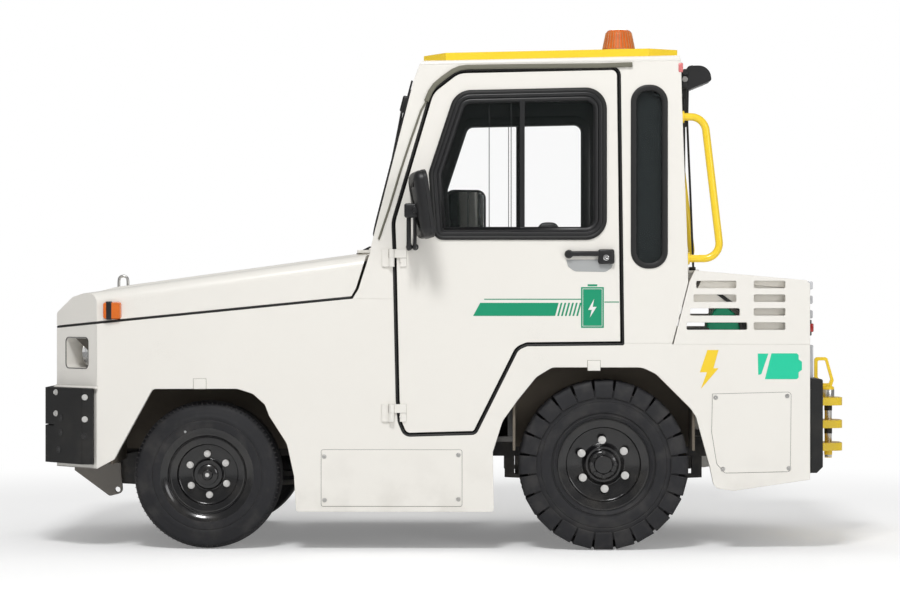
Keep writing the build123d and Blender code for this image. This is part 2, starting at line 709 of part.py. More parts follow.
# Dashboard: across the cab under the windscreen
dash_half_width = 620
dash_back_x = cowl_x + front_wall
dash_rows = [
    (dash_back_x + 33, 1064, 0),
    (dash_back_x + 65, 1164.5, 0),
    (cowl_x + 126, 1204, 0),
    (cowl_x + 208, 1200, 30),
    (cowl_x + 260, 1150, 30),
    (cowl_x + 223, 1000, 20),
    (cowl_x + 88, 1000, 20),
]
with BuildPart() as dashboard:
    with BuildSketch(Plane.XZ):
        add(outline(dash_rows))
    extrude(amount=dash_half_width, both=True)
dashboard.part.label = "dashboard"
export_step(dashboard.part, "parts/dashboard.step")

# Steering: column, three spokes and the wheel in front of the driver
wheel_centre_x, wheel_centre_z, wheel_lean = -5, 1135, 35
wheel_radius, wheel_rim_radius = 190, 14
column_radius = 30
column_length = (wheel_centre_x - bulkhead_x - floor_plate) / sin(radians(wheel_lean))
wheel_plane = Plane(origin=(wheel_centre_x, -seat_y, wheel_centre_z), x_dir=(0, 1, 0),
                    z_dir=(sin(radians(wheel_lean)), 0, cos(radians(wheel_lean))))
with BuildPart() as steering:
    with Locations(wheel_plane):
        Torus(wheel_radius, wheel_rim_radius)
        with PolarLocations(wheel_radius / 2, 3, start_angle=90):
            Box(wheel_radius, 2 * wheel_rim_radius, 10)
    with BuildSketch(wheel_plane.offset(18)):
        Circle(column_radius + 8)
    extrude(amount=-36)
    with BuildSketch(wheel_plane):
        Circle(column_radius)
    extrude(amount=-column_length - column_radius)
    with Locations((bulkhead_x + floor_plate, -seat_y, wheel_centre_z)):
        Box(column_length, seat_width, 2 * wheel_centre_z, align=(Align.MAX, Align.CENTER, Align.CENTER),
            mode=Mode.SUBTRACT)
steering.part.label = "steering"
export_step(steering.part, "parts/steering.step")

# Chassis frame: two rails kicked up over the rear axle, cross members and spring hangers
rail_front_x, rail_rear_x = nose_x + side_wall + 22, panel_front_x
kick_front_x, kick_rear_x, kick_run = rear_axle_x - 310, rear_axle_x + 355, 110
rail_rows = [
    (rail_front_x, rail_bottom_z, 0),
    (kick_front_x, rail_bottom_z, 0),
    (kick_front_x + kick_run, rail_bottom_z + rail_kick, 0),
    (kick_rear_x - kick_run, rail_bottom_z + rail_kick, 0),
    (kick_rear_x, rail_bottom_z, 0),
    (rail_rear_x, rail_bottom_z, 0),
    (rail_rear_x, rail_top_z, 0),
    (kick_rear_x + 25, rail_top_z, 0),
    (kick_rear_x + 25 - kick_run, rail_top_z + rail_kick, 0),
    (kick_front_x - 25 + kick_run, rail_top_z + rail_kick, 0),
    (kick_front_x - 25, rail_top_z, 0),
    (rail_front_x, rail_top_z, 0),
]
# Cross members: front face, length along the vehicle, bottom, top and half width
cross_members = [
    (nose_x + side_wall, 60, body_bottom_z + nose_plate, rail_top_z, 480),
    (bulkhead_x - 82, 60, rail_bottom_z, rail_top_z, rail_inner_y + 1),
    (step_x - 105, 60, rail_bottom_z, rail_top_z, rail_inner_y + 1),
    (rail_rear_x - 40, 40, 300, 640, 400),
]
spring_thickness, leaf_thickness, spring_inner_y, spring_outer_y = 35, 14, 245, 295
# Springs: axle, front eye, rear eye, top at the axle, top at the ends
spring_rows = [
    (front_axle_x, front_axle_x - 388, front_axle_x + 370, 255, 249),
    (rear_axle_x, rear_axle_x - 370, rear_axle_x + 400, 283, 276),
]
with BuildPart() as chassis_frame:
    with BuildSketch(side_plane(rail_outer_y)):
        add(outline(rail_rows))
    extrude(amount=rail_inner_y - rail_outer_y)
    for axle_x, front_eye_x, rear_eye_x, spring_top_z, end_top_z in spring_rows:
        for eye_x in (front_eye_x, rear_eye_x):
            with Locations((eye_x, -(spring_inner_y + spring_outer_y) / 2, (end_top_z + rail_bottom_z) / 2)):
                Box(40, spring_outer_y - spring_inner_y, rail_bottom_z - end_top_z)
    mirror(about=Plane.XZ)
    for front_x, length, bottom_z, top_z, half_span in cross_members:
        with Locations((front_x + length / 2, 0, (bottom_z + top_z) / 2)):
            Box(length, 2 * half_span, top_z - bottom_z)
chassis_frame.part.label = "chassis_frame"
export_step(chassis_frame.part, "parts/chassis_frame.step")

# Battery: one plain block on the rails, under the hood
battery_front_x, battery_rear_x = nose_x + 272, bulkhead_x - 62
battery_half_width, battery_height = 295, 500
with BuildPart() as battery_block:
    with Locations(((battery_front_x + battery_rear_x) / 2, 0, rail_top_z)):
        Box(battery_rear_x - battery_front_x, 2 * battery_half_width, battery_height,
            align=(Align.CENTER, Align.CENTER, Align.MIN))
battery_block.part.label = "battery_block"
export_step(battery_block.part, "parts/battery_block.step")

# Leaf springs: one flat pack under each end of both axles
with BuildPart() as leaf_springs:
    with BuildSketch(side_plane(spring_outer_y)):
        for axle_x, front_eye_x, rear_eye_x, spring_top_z, end_top_z in spring_rows:
            spring_bottom_z = spring_top_z - spring_thickness
            add(outline([(front_eye_x - 20, end_top_z, 0), (axle_x - 80, end_top_z, 0),
                         (axle_x - 70, spring_top_z, 0), (axle_x + 70, spring_top_z, 0),
                         (axle_x + 80, end_top_z, 0), (rear_eye_x + 20, end_top_z, 0),
                         (rear_eye_x + 20, end_top_z - leaf_thickness, 0), (axle_x + 90, spring_bottom_z, 0),
                         (axle_x - 90, spring_bottom_z, 0),
                         (front_eye_x - 20, end_top_z - leaf_thickness, 0)]))
    extrude(amount=spring_inner_y - spring_outer_y)
    mirror(about=Plane.XZ)
leaf_springs.part.label = "leaf_springs"
export_step(leaf_springs.part, "parts/leaf_springs.step")

# Front axle: beam with an eye at each end for the king pin
beam_half_length, beam_half_depth = 452, 30
beam_bottom_z, beam_top_z = 255, 335
eye_radius, eye_bottom_z, eye_top_z = 28, 253, 337
with BuildPart() as front_axle:
    with Locations((front_axle_x, 0, (beam_bottom_z + beam_top_z) / 2)):
        Box(2 * beam_half_depth, 2 * beam_half_length, beam_top_z - beam_bottom_z)
    for across in (-king_pin_y, king_pin_y):
        with Locations((front_axle_x, across, eye_bottom_z)):
            Cylinder(eye_radius, eye_top_z - eye_bottom_z, align=(Align.CENTER, Align.CENTER, Align.MIN))
            Cylinder(king_pin_radius + pin_play, eye_top_z - eye_bottom_z,
                     align=(Align.CENTER, Align.CENTER, Align.MIN), mode=Mode.SUBTRACT)
front_axle.part.label = "front_axle"
export_step(front_axle.part, "parts/front_axle.step")

# Rear axle: tube, drive housing, motor and the two wheel shafts
axle_tube_radius, drive_radius, motor_radius, motor_length = 55, 120, 95, 225
drum_radius, drum_outer_y = 110, 500
shaft_end_y = rear_track / 2 + 50
with BuildPart() as rear_axle:
    with BuildSketch(Plane.XZ.offset(-drum_outer_y)):
        with Locations((rear_axle_x, rear_tyre_radius)):
            Circle(axle_tube_radius)
    extrude(amount=2 * drum_outer_y)
    with BuildSketch(Plane.XZ.offset(-shaft_end_y)):
        with Locations((rear_axle_x, rear_tyre_radius)):
            Circle(rear_shaft_radius)
    extrude(amount=2 * shaft_end_y)
    with Locations((rear_axle_x, 0, rear_tyre_radius)):
        Sphere(drive_radius)
    with BuildSketch(Plane.YZ.offset(rear_axle_x)):
        with Locations((0, rear_tyre_radius)):
            Circle(motor_radius)
    extrude(amount=-drive_radius - motor_length)
rear_axle.part.label = "rear_axle"
export_step(rear_axle.part, "parts/rear_axle.step")

# Wheel wells: open below and outwards, over all four wheels
well_sheet = 10
# Wells: front face, rear face, inner side, bottom of the end walls, bottom of the inner wall, top
well_rows = [
    (front_axle_x - 380, front_axle_x + 380, 305, 340, 380, 670),
    (rear_axle_x - 360, rear_axle_x + 360, 490, 395, 400, 735),
]
with BuildPart() as wheel_wells:
    for front_x, rear_x, inner_y, end_z, inner_z, top_z in well_rows:
        outer_y = half_width - side_wall
        middle_x, middle_y = (front_x + rear_x) / 2, -(inner_y + outer_y) / 2
        with Locations((middle_x, middle_y, top_z - well_sheet / 2)):
            Box(rear_x - front_x, outer_y - inner_y, well_sheet)
        for end_x in (front_x + well_sheet / 2, rear_x - well_sheet / 2):
            with Locations((end_x, middle_y, (end_z + top_z) / 2)):
                Box(well_sheet, outer_y - inner_y, top_z - end_z)
        with Locations((middle_x, -inner_y - well_sheet / 2, (inner_z + top_z) / 2)):
            Box(rear_x - front_x, well_sheet, top_z - inner_z)
    mirror(about=Plane.XZ)
wheel_wells.part.label = "wheel_wells"
export_step(wheel_wells.part, "parts/wheel_wells.step")

# Beacon: amber lamp that stands on the sloping roof plate
beacon_x = 699
beacon_base_radius, beacon_top_radius, beacon_height = 72, 53, 151
roof_slope = (plate_rear_z - plate_front_z) / (plate_rear_x - plate_front_x)
beacon_base_z = plate_front_z + plate_thickness + roof_slope * (beacon_x - plate_front_x)
beacon_plane = Plane(origin=(beacon_x, 0, beacon_base_z), x_dir=(1, 0, 0), z_dir=(0, -1, 0))
beacon_seat = Plane(origin=(beacon_x, 0, beacon_base_z), x_dir=(1, 0, roof_slope), z_dir=(-roof_slope, 0, 1))
with BuildPart() as beacon:
    with BuildSketch(beacon_plane):
        add(outline([(0, -5, 0), (beacon_base_radius, -5, 0), (beacon_base_radius, 30, 6),
                     (beacon_base_radius - 10, 36, 0), (beacon_top_radius, beacon_height, 20),
                     (0, beacon_height, 0)]))
    revolve(axis=Axis((beacon_x, 0, 0), (0, 0, 1)))
    split(bisect_by=beacon_seat, keep=Keep.TOP)
beacon.part.label = "beacon"
export_step(beacon.part, "parts/beacon.step")

# Rear lamps: work lamp on its bracket, high on the cab back, and the tail lamps
work_lamp_y, work_lamp_width = -430, 130
work_lamp_x, work_lamp_z = cab_back_top_x + 65, roof_rear_z - 71
work_bracket_width, work_bracket_foot_z, work_bracket_top_z = 40, roof_rear_z - 276, roof_rear_z - 79
tail_lamp_y, tail_lamp_width, tail_lamp_height, tail_lamp_depth = 610, 80, 32, 20
tail_lamp_heights = (881, 934, 992, 1049)
with BuildPart() as rear_lamps:
    with BuildSketch(side_plane(-work_lamp_y + work_lamp_width / 2)):
        add(outline([(work_lamp_x - 52, work_lamp_z + 12, 18), (work_lamp_x - 20, work_lamp_z + 50, 18),
                     (work_lamp_x + 30, work_lamp_z + 42, 18), (work_lamp_x + 53, work_lamp_z - 10, 12),
                     (work_lamp_x + 28, work_lamp_z - 48, 12), (work_lamp_x - 30, work_lamp_z - 30, 18)]))
    extrude(amount=-work_lamp_width)
    with BuildSketch(side_plane(-work_lamp_y + work_bracket_width / 2)):
        add(outline([(cab_back_top_x - 4, work_bracket_top_z, 0),
                     (cab_back_top_x - 4, work_bracket_foot_z, 0),
                     (cab_back_top_x + 10, work_bracket_foot_z, 0), (work_lamp_x - 20, work_lamp_z - 20, 0),
                     (work_lamp_x - 20, work_lamp_z + 8, 0)]))
    extrude(amount=-work_bracket_width)
    add(cab_back.part, mode=Mode.SUBTRACT)
    for across in (-tail_lamp_y, tail_lamp_y):
        for height in tail_lamp_heights:
            with Locations((tail_x + tail_lamp_depth / 2, across, height)):
                Box(tail_lamp_depth, tail_lamp_width, tail_lamp_height)
rear_lamps.part.label = "rear_lamps"
export_step(rear_lamps.part, "parts/rear_lamps.step")

# Grab handles: one bent tube at each rear corner of the cab
handle_y, handle_foot_radius, handle_foot_depth = 694, 24, 8
handle_top_z, handle_bottom_z = cab_back_top_z - 27, cab_back_z + 25
handle_reach_top, handle_reach_bottom = 89, 132


def cab_back_face_x(z):
    """How far back the cab's rear face stands at this height."""
    return cab_back_x + (cab_back_top_x - cab_back_x) * (z - cab_back_z) / (cab_back_top_z - cab_back_z)


with BuildPart() as grab_handles:
    with BuildLine(side_plane(handle_y)) as handle_path:
        FilletPolyline([(cab_back_face_x(handle_top_z), handle_top_z),
                        (cab_back_top_x + handle_reach_top, handle_top_z),
                        (cab_back_x + handle_reach_bottom, handle_bottom_z),
                        (cab_back_face_x(handle_bottom_z), handle_bottom_z)], radius=60)
    with BuildSketch(Plane(origin=handle_path.line @ 0, z_dir=handle_path.line % 0)):
        Circle(tube_radius)
    sweep(path=handle_path.line)
    for foot_z in (handle_top_z, handle_bottom_z):
        with BuildSketch(Plane.YZ.offset(cab_back_face_x(foot_z))):
            with Locations((-handle_y, foot_z)):
                Circle(handle_foot_radius)
        extrude(amount=handle_foot_depth, both=True)
    mirror(about=Plane.XZ)
    add(cab_sides.part, mode=Mode.SUBTRACT)
    add(cab_back.part, mode=Mode.SUBTRACT)
grab_handles.part.label = "grab_handles"
export_step(grab_handles.part, "parts/grab_handles.step")

# Hitch: back plate and three jaw plates with a hole for the pin
jaw_thickness, jaw_root_width, jaw_tip_width = 33, 220, 130
jaw_heights = (375, 470, 565)
jaw_end_x = hitch_pin_x + 54
hitch_plate_depth, hitch_plate_width = 24, 260
hitch_bottom_z, hitch_top_z = 320, 620
jaw_root_x = tail_x + hitch_plate_depth
rib_depth, rib_thickness = 34, 12
with BuildPart() as hitch:
    with Locations((tail_x + hitch_plate_depth / 2, 0, (hitch_bottom_z + hitch_top_z) / 2)):
        Box(hitch_plate_depth, hitch_plate_width, hitch_top_z - hitch_bottom_z)
    for height in jaw_heights:
        with BuildSketch(Plane.XY.offset(height - jaw_thickness / 2)):
            add(outline([(jaw_root_x, -jaw_root_width / 2, 0), (jaw_end_x, -jaw_tip_width / 2, 40),
                         (jaw_end_x, jaw_tip_width / 2, 40), (jaw_root_x, jaw_root_width / 2, 0)]))
            with Locations((hitch_pin_x, 0)):
                Circle(hitch_pin_radius + hitch_pin_play, mode=Mode.SUBTRACT)
        extrude(amount=jaw_thickness)
    with Locations((jaw_root_x + rib_depth / 2, 0, (jaw_heights[0] + jaw_heights[2]) / 2)):
        Box(rib_depth, rib_thickness, jaw_heights[2] - jaw_heights[0])
hitch.part.label = "hitch"
export_step(hitch.part, "parts/hitch.step")

# Hitch pin: shank, round head and a flat yellow lifting loop
pin_bottom_z, pin_head_radius = 326, 25
pin_head_z = jaw_heights[2] + jaw_thickness / 2 + running_gap
pin_head_height = 46
loop_thickness = 12
loop_foot_z = pin_head_z + pin_head_height - 6
# Lifting loop: along from the pin, up from the loop's foot, and corner radius
loop_outer = [(-23, 0, 0), (-59, 40, 8), (-59, 128, 14), (-5, 128, 14), (23, 30, 8), (13, 0, 0)]
loop_inner = [(-23, 18, 0), (-45, 44, 4), (-45, 114, 6), (-13, 114, 6), (9, 34, 4), (3, 18, 0)]
with BuildPart() as hitch_pin:
    with Locations((hitch_pin_x, 0, pin_bottom_z)):
        Cylinder(hitch_pin_radius, pin_head_z - pin_bottom_z + 4,
                 align=(Align.CENTER, Align.CENTER, Align.MIN))
    with Locations((hitch_pin_x, 0, pin_head_z)):
        Cylinder(pin_head_radius, pin_head_height, align=(Align.CENTER, Align.CENTER, Align.MIN))
    fillet(hitch_pin.edges().group_by(Axis.Z)[-1], 10)
    with BuildSketch(side_plane(loop_thickness / 2)):
        add(outline([(hitch_pin_x + along, loop_foot_z + up, radius) for along, up, radius in loop_outer]))
        add(outline([(hitch_pin_x + along, loop_foot_z + up, radius) for along, up, radius in loop_inner]),
            mode=Mode.SUBTRACT)
    extrude(amount=-loop_thickness)
hitch_pin.part.label = "hitch_pin"
export_step(hitch_pin.part, "parts/hitch_pin.step")

# Knuckles: two yokes round the beam's eye, king pin, wheel spindle and steering arm
yoke_thickness, yoke_half_length = 20, 30
yoke_gap = 4
web_inner_y, web_outer_y = 502, 520
arm_bottom_z, arm_thickness, arm_eye_radius = 290, 20, 18
arm_pin_bottom_z = tie_rod_z - 14
spindle_end_y = front_track / 2 + 45
arm_pin_radius = 8
# Steering arm boxes: start and end along the vehicle from the king pin, inner and outer Y
arm_boxes = [(20, 62, 502, 520), (45, 62, 470, 520), (45, steer_arm_length, 470, 495)]
with BuildPart() as knuckle_left:
    for bottom_z in (eye_bottom_z - yoke_gap - yoke_thickness, eye_top_z + yoke_gap):
        with Locations((front_axle_x, -(king_pin_y - yoke_half_length + web_outer_y) / 2, bottom_z)):
            Box(2 * yoke_half_length, web_outer_y - king_pin_y + yoke_half_length, yoke_thickness,
                align=(Align.CENTER, Align.CENTER, Align.MIN))
    yoke_bottom_z = eye_bottom_z - yoke_gap - yoke_thickness
    yoke_top_z = eye_top_z + yoke_gap + yoke_thickness
    with Locations((front_axle_x, -(web_inner_y + web_outer_y) / 2, (yoke_bottom_z + yoke_top_z) / 2)):
        Box(2 * yoke_half_length, web_outer_y - web_inner_y, yoke_top_z - yoke_bottom_z)
    with Locations((front_axle_x, -king_pin_y, yoke_bottom_z)):
        Cylinder(king_pin_radius, yoke_top_z - yoke_bottom_z, align=(Align.CENTER, Align.CENTER, Align.MIN))
    with BuildSketch(side_plane(spindle_end_y)):
        with Locations((front_axle_x, front_tyre_radius)):
            Circle(front_spindle_radius)
    extrude(amount=web_inner_y + 4 - spindle_end_y)
    for start, end, inner_y, outer_y in arm_boxes:
        with Locations((front_axle_x + (start + end) / 2, -(inner_y + outer_y) / 2, arm_bottom_z)):
            Box(end - start, outer_y - inner_y, arm_thickness, align=(Align.CENTER, Align.CENTER, Align.MIN))
    with Locations((front_axle_x + steer_arm_length, -king_pin_y, arm_bottom_z)):
        Cylinder(arm_eye_radius, arm_thickness, align=(Align.CENTER, Align.CENTER, Align.MIN))
    with Locations((front_axle_x + steer_arm_length, -king_pin_y, arm_pin_bottom_z)):
        Cylinder(arm_pin_radius, arm_bottom_z + arm_thickness / 2 - arm_pin_bottom_z,
                 align=(Align.CENTER, Align.CENTER, Align.MIN))
knuckle_left.part.label = "knuckle_left"
export_step(knuckle_left.part, "parts/knuckle_left.step")
with BuildPart() as knuckle_right:
    add(mirror(knuckle_left.part, about=Plane.XZ, mode=Mode.PRIVATE))
knuckle_right.part.label = "knuckle_right"
export_step(knuckle_right.part, "parts/knuckle_right.step")

# Tie rod: joins the pins of both steering arms
rod_radius, rod_eye_radius, rod_eye_height = 10, 16, 20
with BuildPart() as tie_rod:
    with Locations(Location((front_axle_x + steer_arm_length, 0, tie_rod_z), (90, 0, 0))):
        Cylinder(rod_radius, 2 * (king_pin_y - rod_eye_radius / 2))
    for across in (-king_pin_y, king_pin_y):
        with Locations((front_axle_x + steer_arm_length, across, tie_rod_z)):
            Cylinder(rod_eye_radius, rod_eye_height)
            Cylinder(arm_pin_radius + pin_play, rod_eye_height, mode=Mode.SUBTRACT)
tie_rod.part.label = "tie_rod"
export_step(tie_rod.part, "parts/tie_rod.step")

# Wheels: a pressed rim and a tyre each, turned about the axle
# Rim sizes: rim edge, well, disc bore side, hub, shaft, half width
front_rim = (150, 131, 60, 55, front_spindle_radius, 64)
rear_rim = (182, 158, 84, 70, rear_shaft_radius, 66)
rim_sheet = 9
lug_count, lug_groove, lug_depth, lug_reach = 24, 12, 22, 46


def rim_rows(edge, well, disc, hub, shaft, half_span):
    """Half section of a rim and its hub: out from the wheel's middle, then up from the axle."""
    return [
        (-half_span, edge, 0), (-half_span + 7, edge, 0), (-half_span + 11, well, 0),
        (half_span - 11, well, 0), (half_span - 7, edge, 0), (half_span, edge, 0),
        (half_span, edge - 6, 0), (half_span - 6, well - rim_sheet, 0), (34, well - rim_sheet, 10),
        (20, disc, 6), (42, hub, 0), (42, shaft + pin_play, 0), (-10, shaft + pin_play, 0),
        (-10, hub, 0), (8, disc + 4, 0), (20, well - rim_sheet, 0), (-half_span + 6, well - rim_sheet, 0),
        (-half_span, edge - 6, 0),
    ]


def tyre_rows(radius, width, edge, shoulder):
    """Half section of a tyre: out from the wheel's middle, then up from the axle."""
    outer = [(width / 2, edge + running_gap, 0), (width / 2, radius - shoulder, 0)]
    if shoulder:
        outer.append((width / 2 - shoulder, radius, 0))
    inner = [(-out, up, rounding) for out, up, rounding in reversed(outer)]
    return outer + inner


# Wheels: name, axle X, axle height, track, tyre width, tyre shoulder, rim
wheel_rows = [
    ("front", front_axle_x, front_tyre_radius, front_track, front_tyre_width, 14, front_rim),
    ("rear", rear_axle_x, rear_tyre_radius, rear_track, rear_tyre_width, 0, rear_rim),
]
# Lug grooves: distance of each row from the wheel's middle, and the turn of its first groove
lug_middle = (rear_tyre_width - lug_reach) / 2 + 1
lug_sides = {"front": [], "rear": [(-lug_middle, 0), (lug_middle, 180 / lug_count)]}
for place, axle_x, radius, track, width, shoulder, rim_sizes in wheel_rows:
    edge, well, disc, hub, shaft, half_span = rim_sizes
    for side_name, side in (("left", -1), ("right", 1)):
        wheel_plane = Plane(origin=(axle_x, side * track / 2, radius), x_dir=(0, side, 0), z_dir=(side, 0, 0))
        wheel_axis = Axis((axle_x, 0, radius), (0, 1, 0))
        with BuildPart() as rim:
            with BuildSketch(wheel_plane):
                add(outline(rim_rows(*rim_sizes)))
            revolve(axis=wheel_axis)
        rim.part.label = f"{place}_rim_{side_name}"
        export_step(rim.part, f"parts/{place}_rim_{side_name}.step")
        with BuildPart() as tyre:
            with BuildSketch(wheel_plane):
                add(outline(tyre_rows(radius, width, edge, shoulder)))
            revolve(axis=wheel_axis)
            for aside, turn in lug_sides[place]:
                lug_plane = Plane(origin=(axle_x, side * track / 2 + aside, radius), x_dir=(1, 0, 0),
                                  z_dir=(0, 1, 0))
                with Locations(lug_plane):
                    with PolarLocations(radius, lug_count, start_angle=turn):
                        Box(2 * lug_depth, lug_groove, lug_reach, mode=Mode.SUBTRACT)
        tyre.part.label = f"{place}_tyre_{side_name}"
        export_step(tyre.part, f"parts/{place}_tyre_{side_name}.step")

# Doors: panel with its window opening and the lift-off halves of both hinges
window_foot_z = 1232
door_window = [
    (-66, window_foot_z, 40),
    (612, window_foot_z, 80),
    (612, roof_rear_z - 108, 80),
    (22, roof_front_z - 105, 80),
    (-84, (window_foot_z + roof_rear_z - 179) / 2, 60),
]
window_trim = 10
handle_x, handle_z, handle_length, handle_height, handle_depth = 549, 1176, 196, 40, 24
mirror_z, mirror_depth, mirror_width, mirror_height, mirror_tip = 1362, 62, 190, 266, 8
arm_foot_x, arm_foot_z, arm_radius = door_front_x + 34, mirror_z - 120, 10
# Mirrors: side, along, out, turn of the housing, and where the arm ends inside it
mirror_rows = [
    ("left", -1, -113, 845, 18, -139, 805),
    ("right", 1, 38, 890, 75, -20, 876),
]
with BuildPart() as door_left:
    with BuildSketch(side_plane(half_width)):
        add(outline(door_line, -door_gap / 2))
        add(outline(door_window, -window_trim), mode=Mode.SUBTRACT)
    extrude(amount=-cab_wall)
    for hinge_z in (lower_hinge_z, upper_hinge_z):
        with Locations((door_hinge_x + 29, -half_width - 6, hinge_z + hinge_half / 2)):
            Box(58, 6, hinge_half - 2 * running_gap)
        with Locations((door_hinge_x + 45, -half_width - 2, hinge_z)):
            Box(26, 8, 2 * hinge_half)
        with Locations((door_hinge_x, -hinge_y, hinge_z + running_gap)):
            Cylinder(hinge_radius, hinge_half - 2 * running_gap,
                     align=(Align.CENTER, Align.CENTER, Align.MIN))
            Cylinder(hinge_pin_radius + pin_play, hinge_half,
                     align=(Align.CENTER, Align.CENTER, Align.MIN), mode=Mode.SUBTRACT)
door_left.part.label = "door_left"
export_step(door_left.part, "parts/door_left.step")

with BuildPart() as door_glass_left:
    with BuildSketch(side_plane(half_width - cab_wall / 2)):
        add(outline(door_window, -window_trim - glass_gap))
    extrude(amount=glass_thickness)
door_glass_left.part.label = "door_glass_left"
export_step(door_glass_left.part, "parts/door_glass_left.step")

for side_name, side, mirror_x, mirror_y, mirror_turn, arm_end_x, arm_end_y in mirror_rows:
    with BuildPart() as fittings:
        mirror_plane = Plane(origin=(mirror_x, side * mirror_y, mirror_z), x_dir=(0, 1, 0), z_dir=(-1, 0, 0))
        with BuildSketch(mirror_plane.rotated((0, mirror_tip, -side * mirror_turn))):
            RectangleRounded(mirror_width, mirror_height, 40)
        extrude(amount=mirror_depth / 2, both=True)
        with BuildLine() as mirror_arm:
            FilletPolyline([(arm_foot_x, side * half_width, arm_foot_z),
                            (arm_foot_x, side * (half_width + 65), arm_foot_z),
                            (arm_end_x, side * arm_end_y, arm_foot_z + 80)], radius=24)
        with BuildSketch(Plane(origin=mirror_arm.line @ 0, z_dir=mirror_arm.line % 0)):
            Circle(arm_radius)
        sweep(path=mirror_arm.line)
        with BuildSketch(side_plane(-side * half_width)):
            with Locations((handle_x, handle_z)):
                RectangleRounded(handle_length, handle_height, 14)
        extrude(amount=-side * handle_depth)
    fittings.part.label = f"door_fittings_{side_name}"
    export_step(fittings.part, f"parts/door_fittings_{side_name}.step")

# Right door: the left one mirrored
for name, source in (("door_right", door_left), ("door_glass_right", door_glass_left)):
    with BuildPart() as mirrored:
        add(mirror(source.part, about=Plane.XZ, mode=Mode.PRIVATE))
    mirrored.part.label = name
    export_step(mirrored.part, f"parts/{name}.step")
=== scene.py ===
import bpy
import bmesh
from math import atan2, cos, exp, pi, radians, sin, tan
from mathutils import Matrix, Vector


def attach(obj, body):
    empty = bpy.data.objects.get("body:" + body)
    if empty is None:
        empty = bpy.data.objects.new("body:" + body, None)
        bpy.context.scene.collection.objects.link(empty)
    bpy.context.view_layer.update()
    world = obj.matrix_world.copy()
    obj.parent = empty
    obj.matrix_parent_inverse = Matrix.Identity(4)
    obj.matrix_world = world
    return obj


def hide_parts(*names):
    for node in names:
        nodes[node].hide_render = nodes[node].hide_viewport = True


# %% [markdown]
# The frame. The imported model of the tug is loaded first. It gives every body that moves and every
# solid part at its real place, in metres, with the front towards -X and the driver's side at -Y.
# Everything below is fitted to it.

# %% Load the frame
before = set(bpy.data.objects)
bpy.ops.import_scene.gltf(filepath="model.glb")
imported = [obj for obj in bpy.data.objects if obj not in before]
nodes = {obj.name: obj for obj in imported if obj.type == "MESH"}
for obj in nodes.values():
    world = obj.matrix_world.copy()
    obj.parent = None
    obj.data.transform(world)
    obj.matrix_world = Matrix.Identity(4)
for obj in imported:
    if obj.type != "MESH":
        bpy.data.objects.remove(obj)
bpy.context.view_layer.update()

# %% [markdown]
# Sizes. The body's main lines are written here once, in millimetres, as on a drawing. A closed
# outline is a list of rows of x, z and corner radius, which reads like a sheet metal template.

# %% Sizes of the body
MM = 0.001
half_width = 720
cab_wall = 40
front_axle_x, rear_axle_x = -970, 605
front_radius, rear_radius = 295, 338
front_track, rear_track = 1174, 1210
nose_x, crease_x, tail_x = -1592, -1402, 1416
door_line = [
    (-180, 458, 30), (95, 466, 20), (262, 800, 50), (300, 816, 30), (677, 820, 0), (663, 1907, 30),
    (30, 1894, 90), (-75, 1813, 90), (-227, 1300, 120), (-223, 1201, 0), (-210, 597, 60),
    (-202, 510, 40),
]
door_window = [(-66, 1232, 40), (612, 1232, 80), (612, 1827, 80), (22, 1815, 80), (-84, 1494, 60)]
quarter_window = [(722, 1828, 56), (844, 1828, 56), (844, 1127, 56), (722, 1127, 56)]
SIDES = (("left", -1), ("right", 1))


def rounded(rows, steps=8):
    """Corner points of a closed outline, with an arc in place of each corner that has a radius."""
    points = []
    for index, (across, up, radius) in enumerate(rows):
        corner = Vector((across, up))
        if radius == 0:
            points.append(corner)
            continue
        before = (Vector(rows[index - 1][:2]) - corner).normalized()
        after = (Vector(rows[(index + 1) % len(rows)][:2]) - corner).normalized()
        half = before.angle(after) / 2
        reach = radius / tan(half)
        centre = corner + (before + after).normalized() * radius / sin(half)
        start, end = corner + before * reach - centre, corner + after * reach - centre
        turn = atan2(start.x * end.y - start.y * end.x, start.dot(end))
        for step in range(steps + 1):
            angle = turn * step / steps
            points.append(centre + Vector((start.x * cos(angle) - start.y * sin(angle),
                                           start.x * sin(angle) + start.y * cos(angle))))
    return points


def outward(points, closed=True):
    """Mitred direction out of an outline at each of its points."""
    count = len(points)
    area = sum(points[i - 1].x * points[i].y - points[i].x * points[i - 1].y for i in range(count))
    sign = 1 if area > 0 or not closed else -1
    directions = []
    for i in range(count):
        before = points[i] - points[i - 1] if closed or i > 0 else points[1] - points[0]
        after = points[(i + 1) % count] - points[i] if closed or i < count - 1 else before
        first = Vector((before.y, -before.x)).normalized()
        second = Vector((after.y, -after.x)).normalized()
        middle = (first + second).normalized()
        directions.append(middle * sign / max(0.5, middle.dot(first)))
    return directions


def grown(points, distance):
    """Outline moved out, or in where the distance is negative."""
    return [point + way * distance for point, way in zip(points, outward(points))]


def side_face(sign, level=half_width):
    """Places a point of the side view on the left (-1) or right (1) side, at a depth outwards."""
    def place(across, up, out):
        return Vector((across, sign * (level + out), up)) * MM
    return place


def face(origin, across_axis, up_axis):
    """Places points on any plane: across it, up it and out of it."""
    across_axis, up_axis = Vector(across_axis).normalized(), Vector(up_axis).normalized()
    normal = across_axis.cross(up_axis)
    def place(across, up, out):
        return (Vector(origin) + across_axis * across + up_axis * up + normal * out) * MM
    return place


# %% [markdown]
# The camera. The photograph was taken from about ten metres on the driver's side with a long lens,
# level with the middle of the cab, so verticals stay vertical and the far side hardly shrinks.

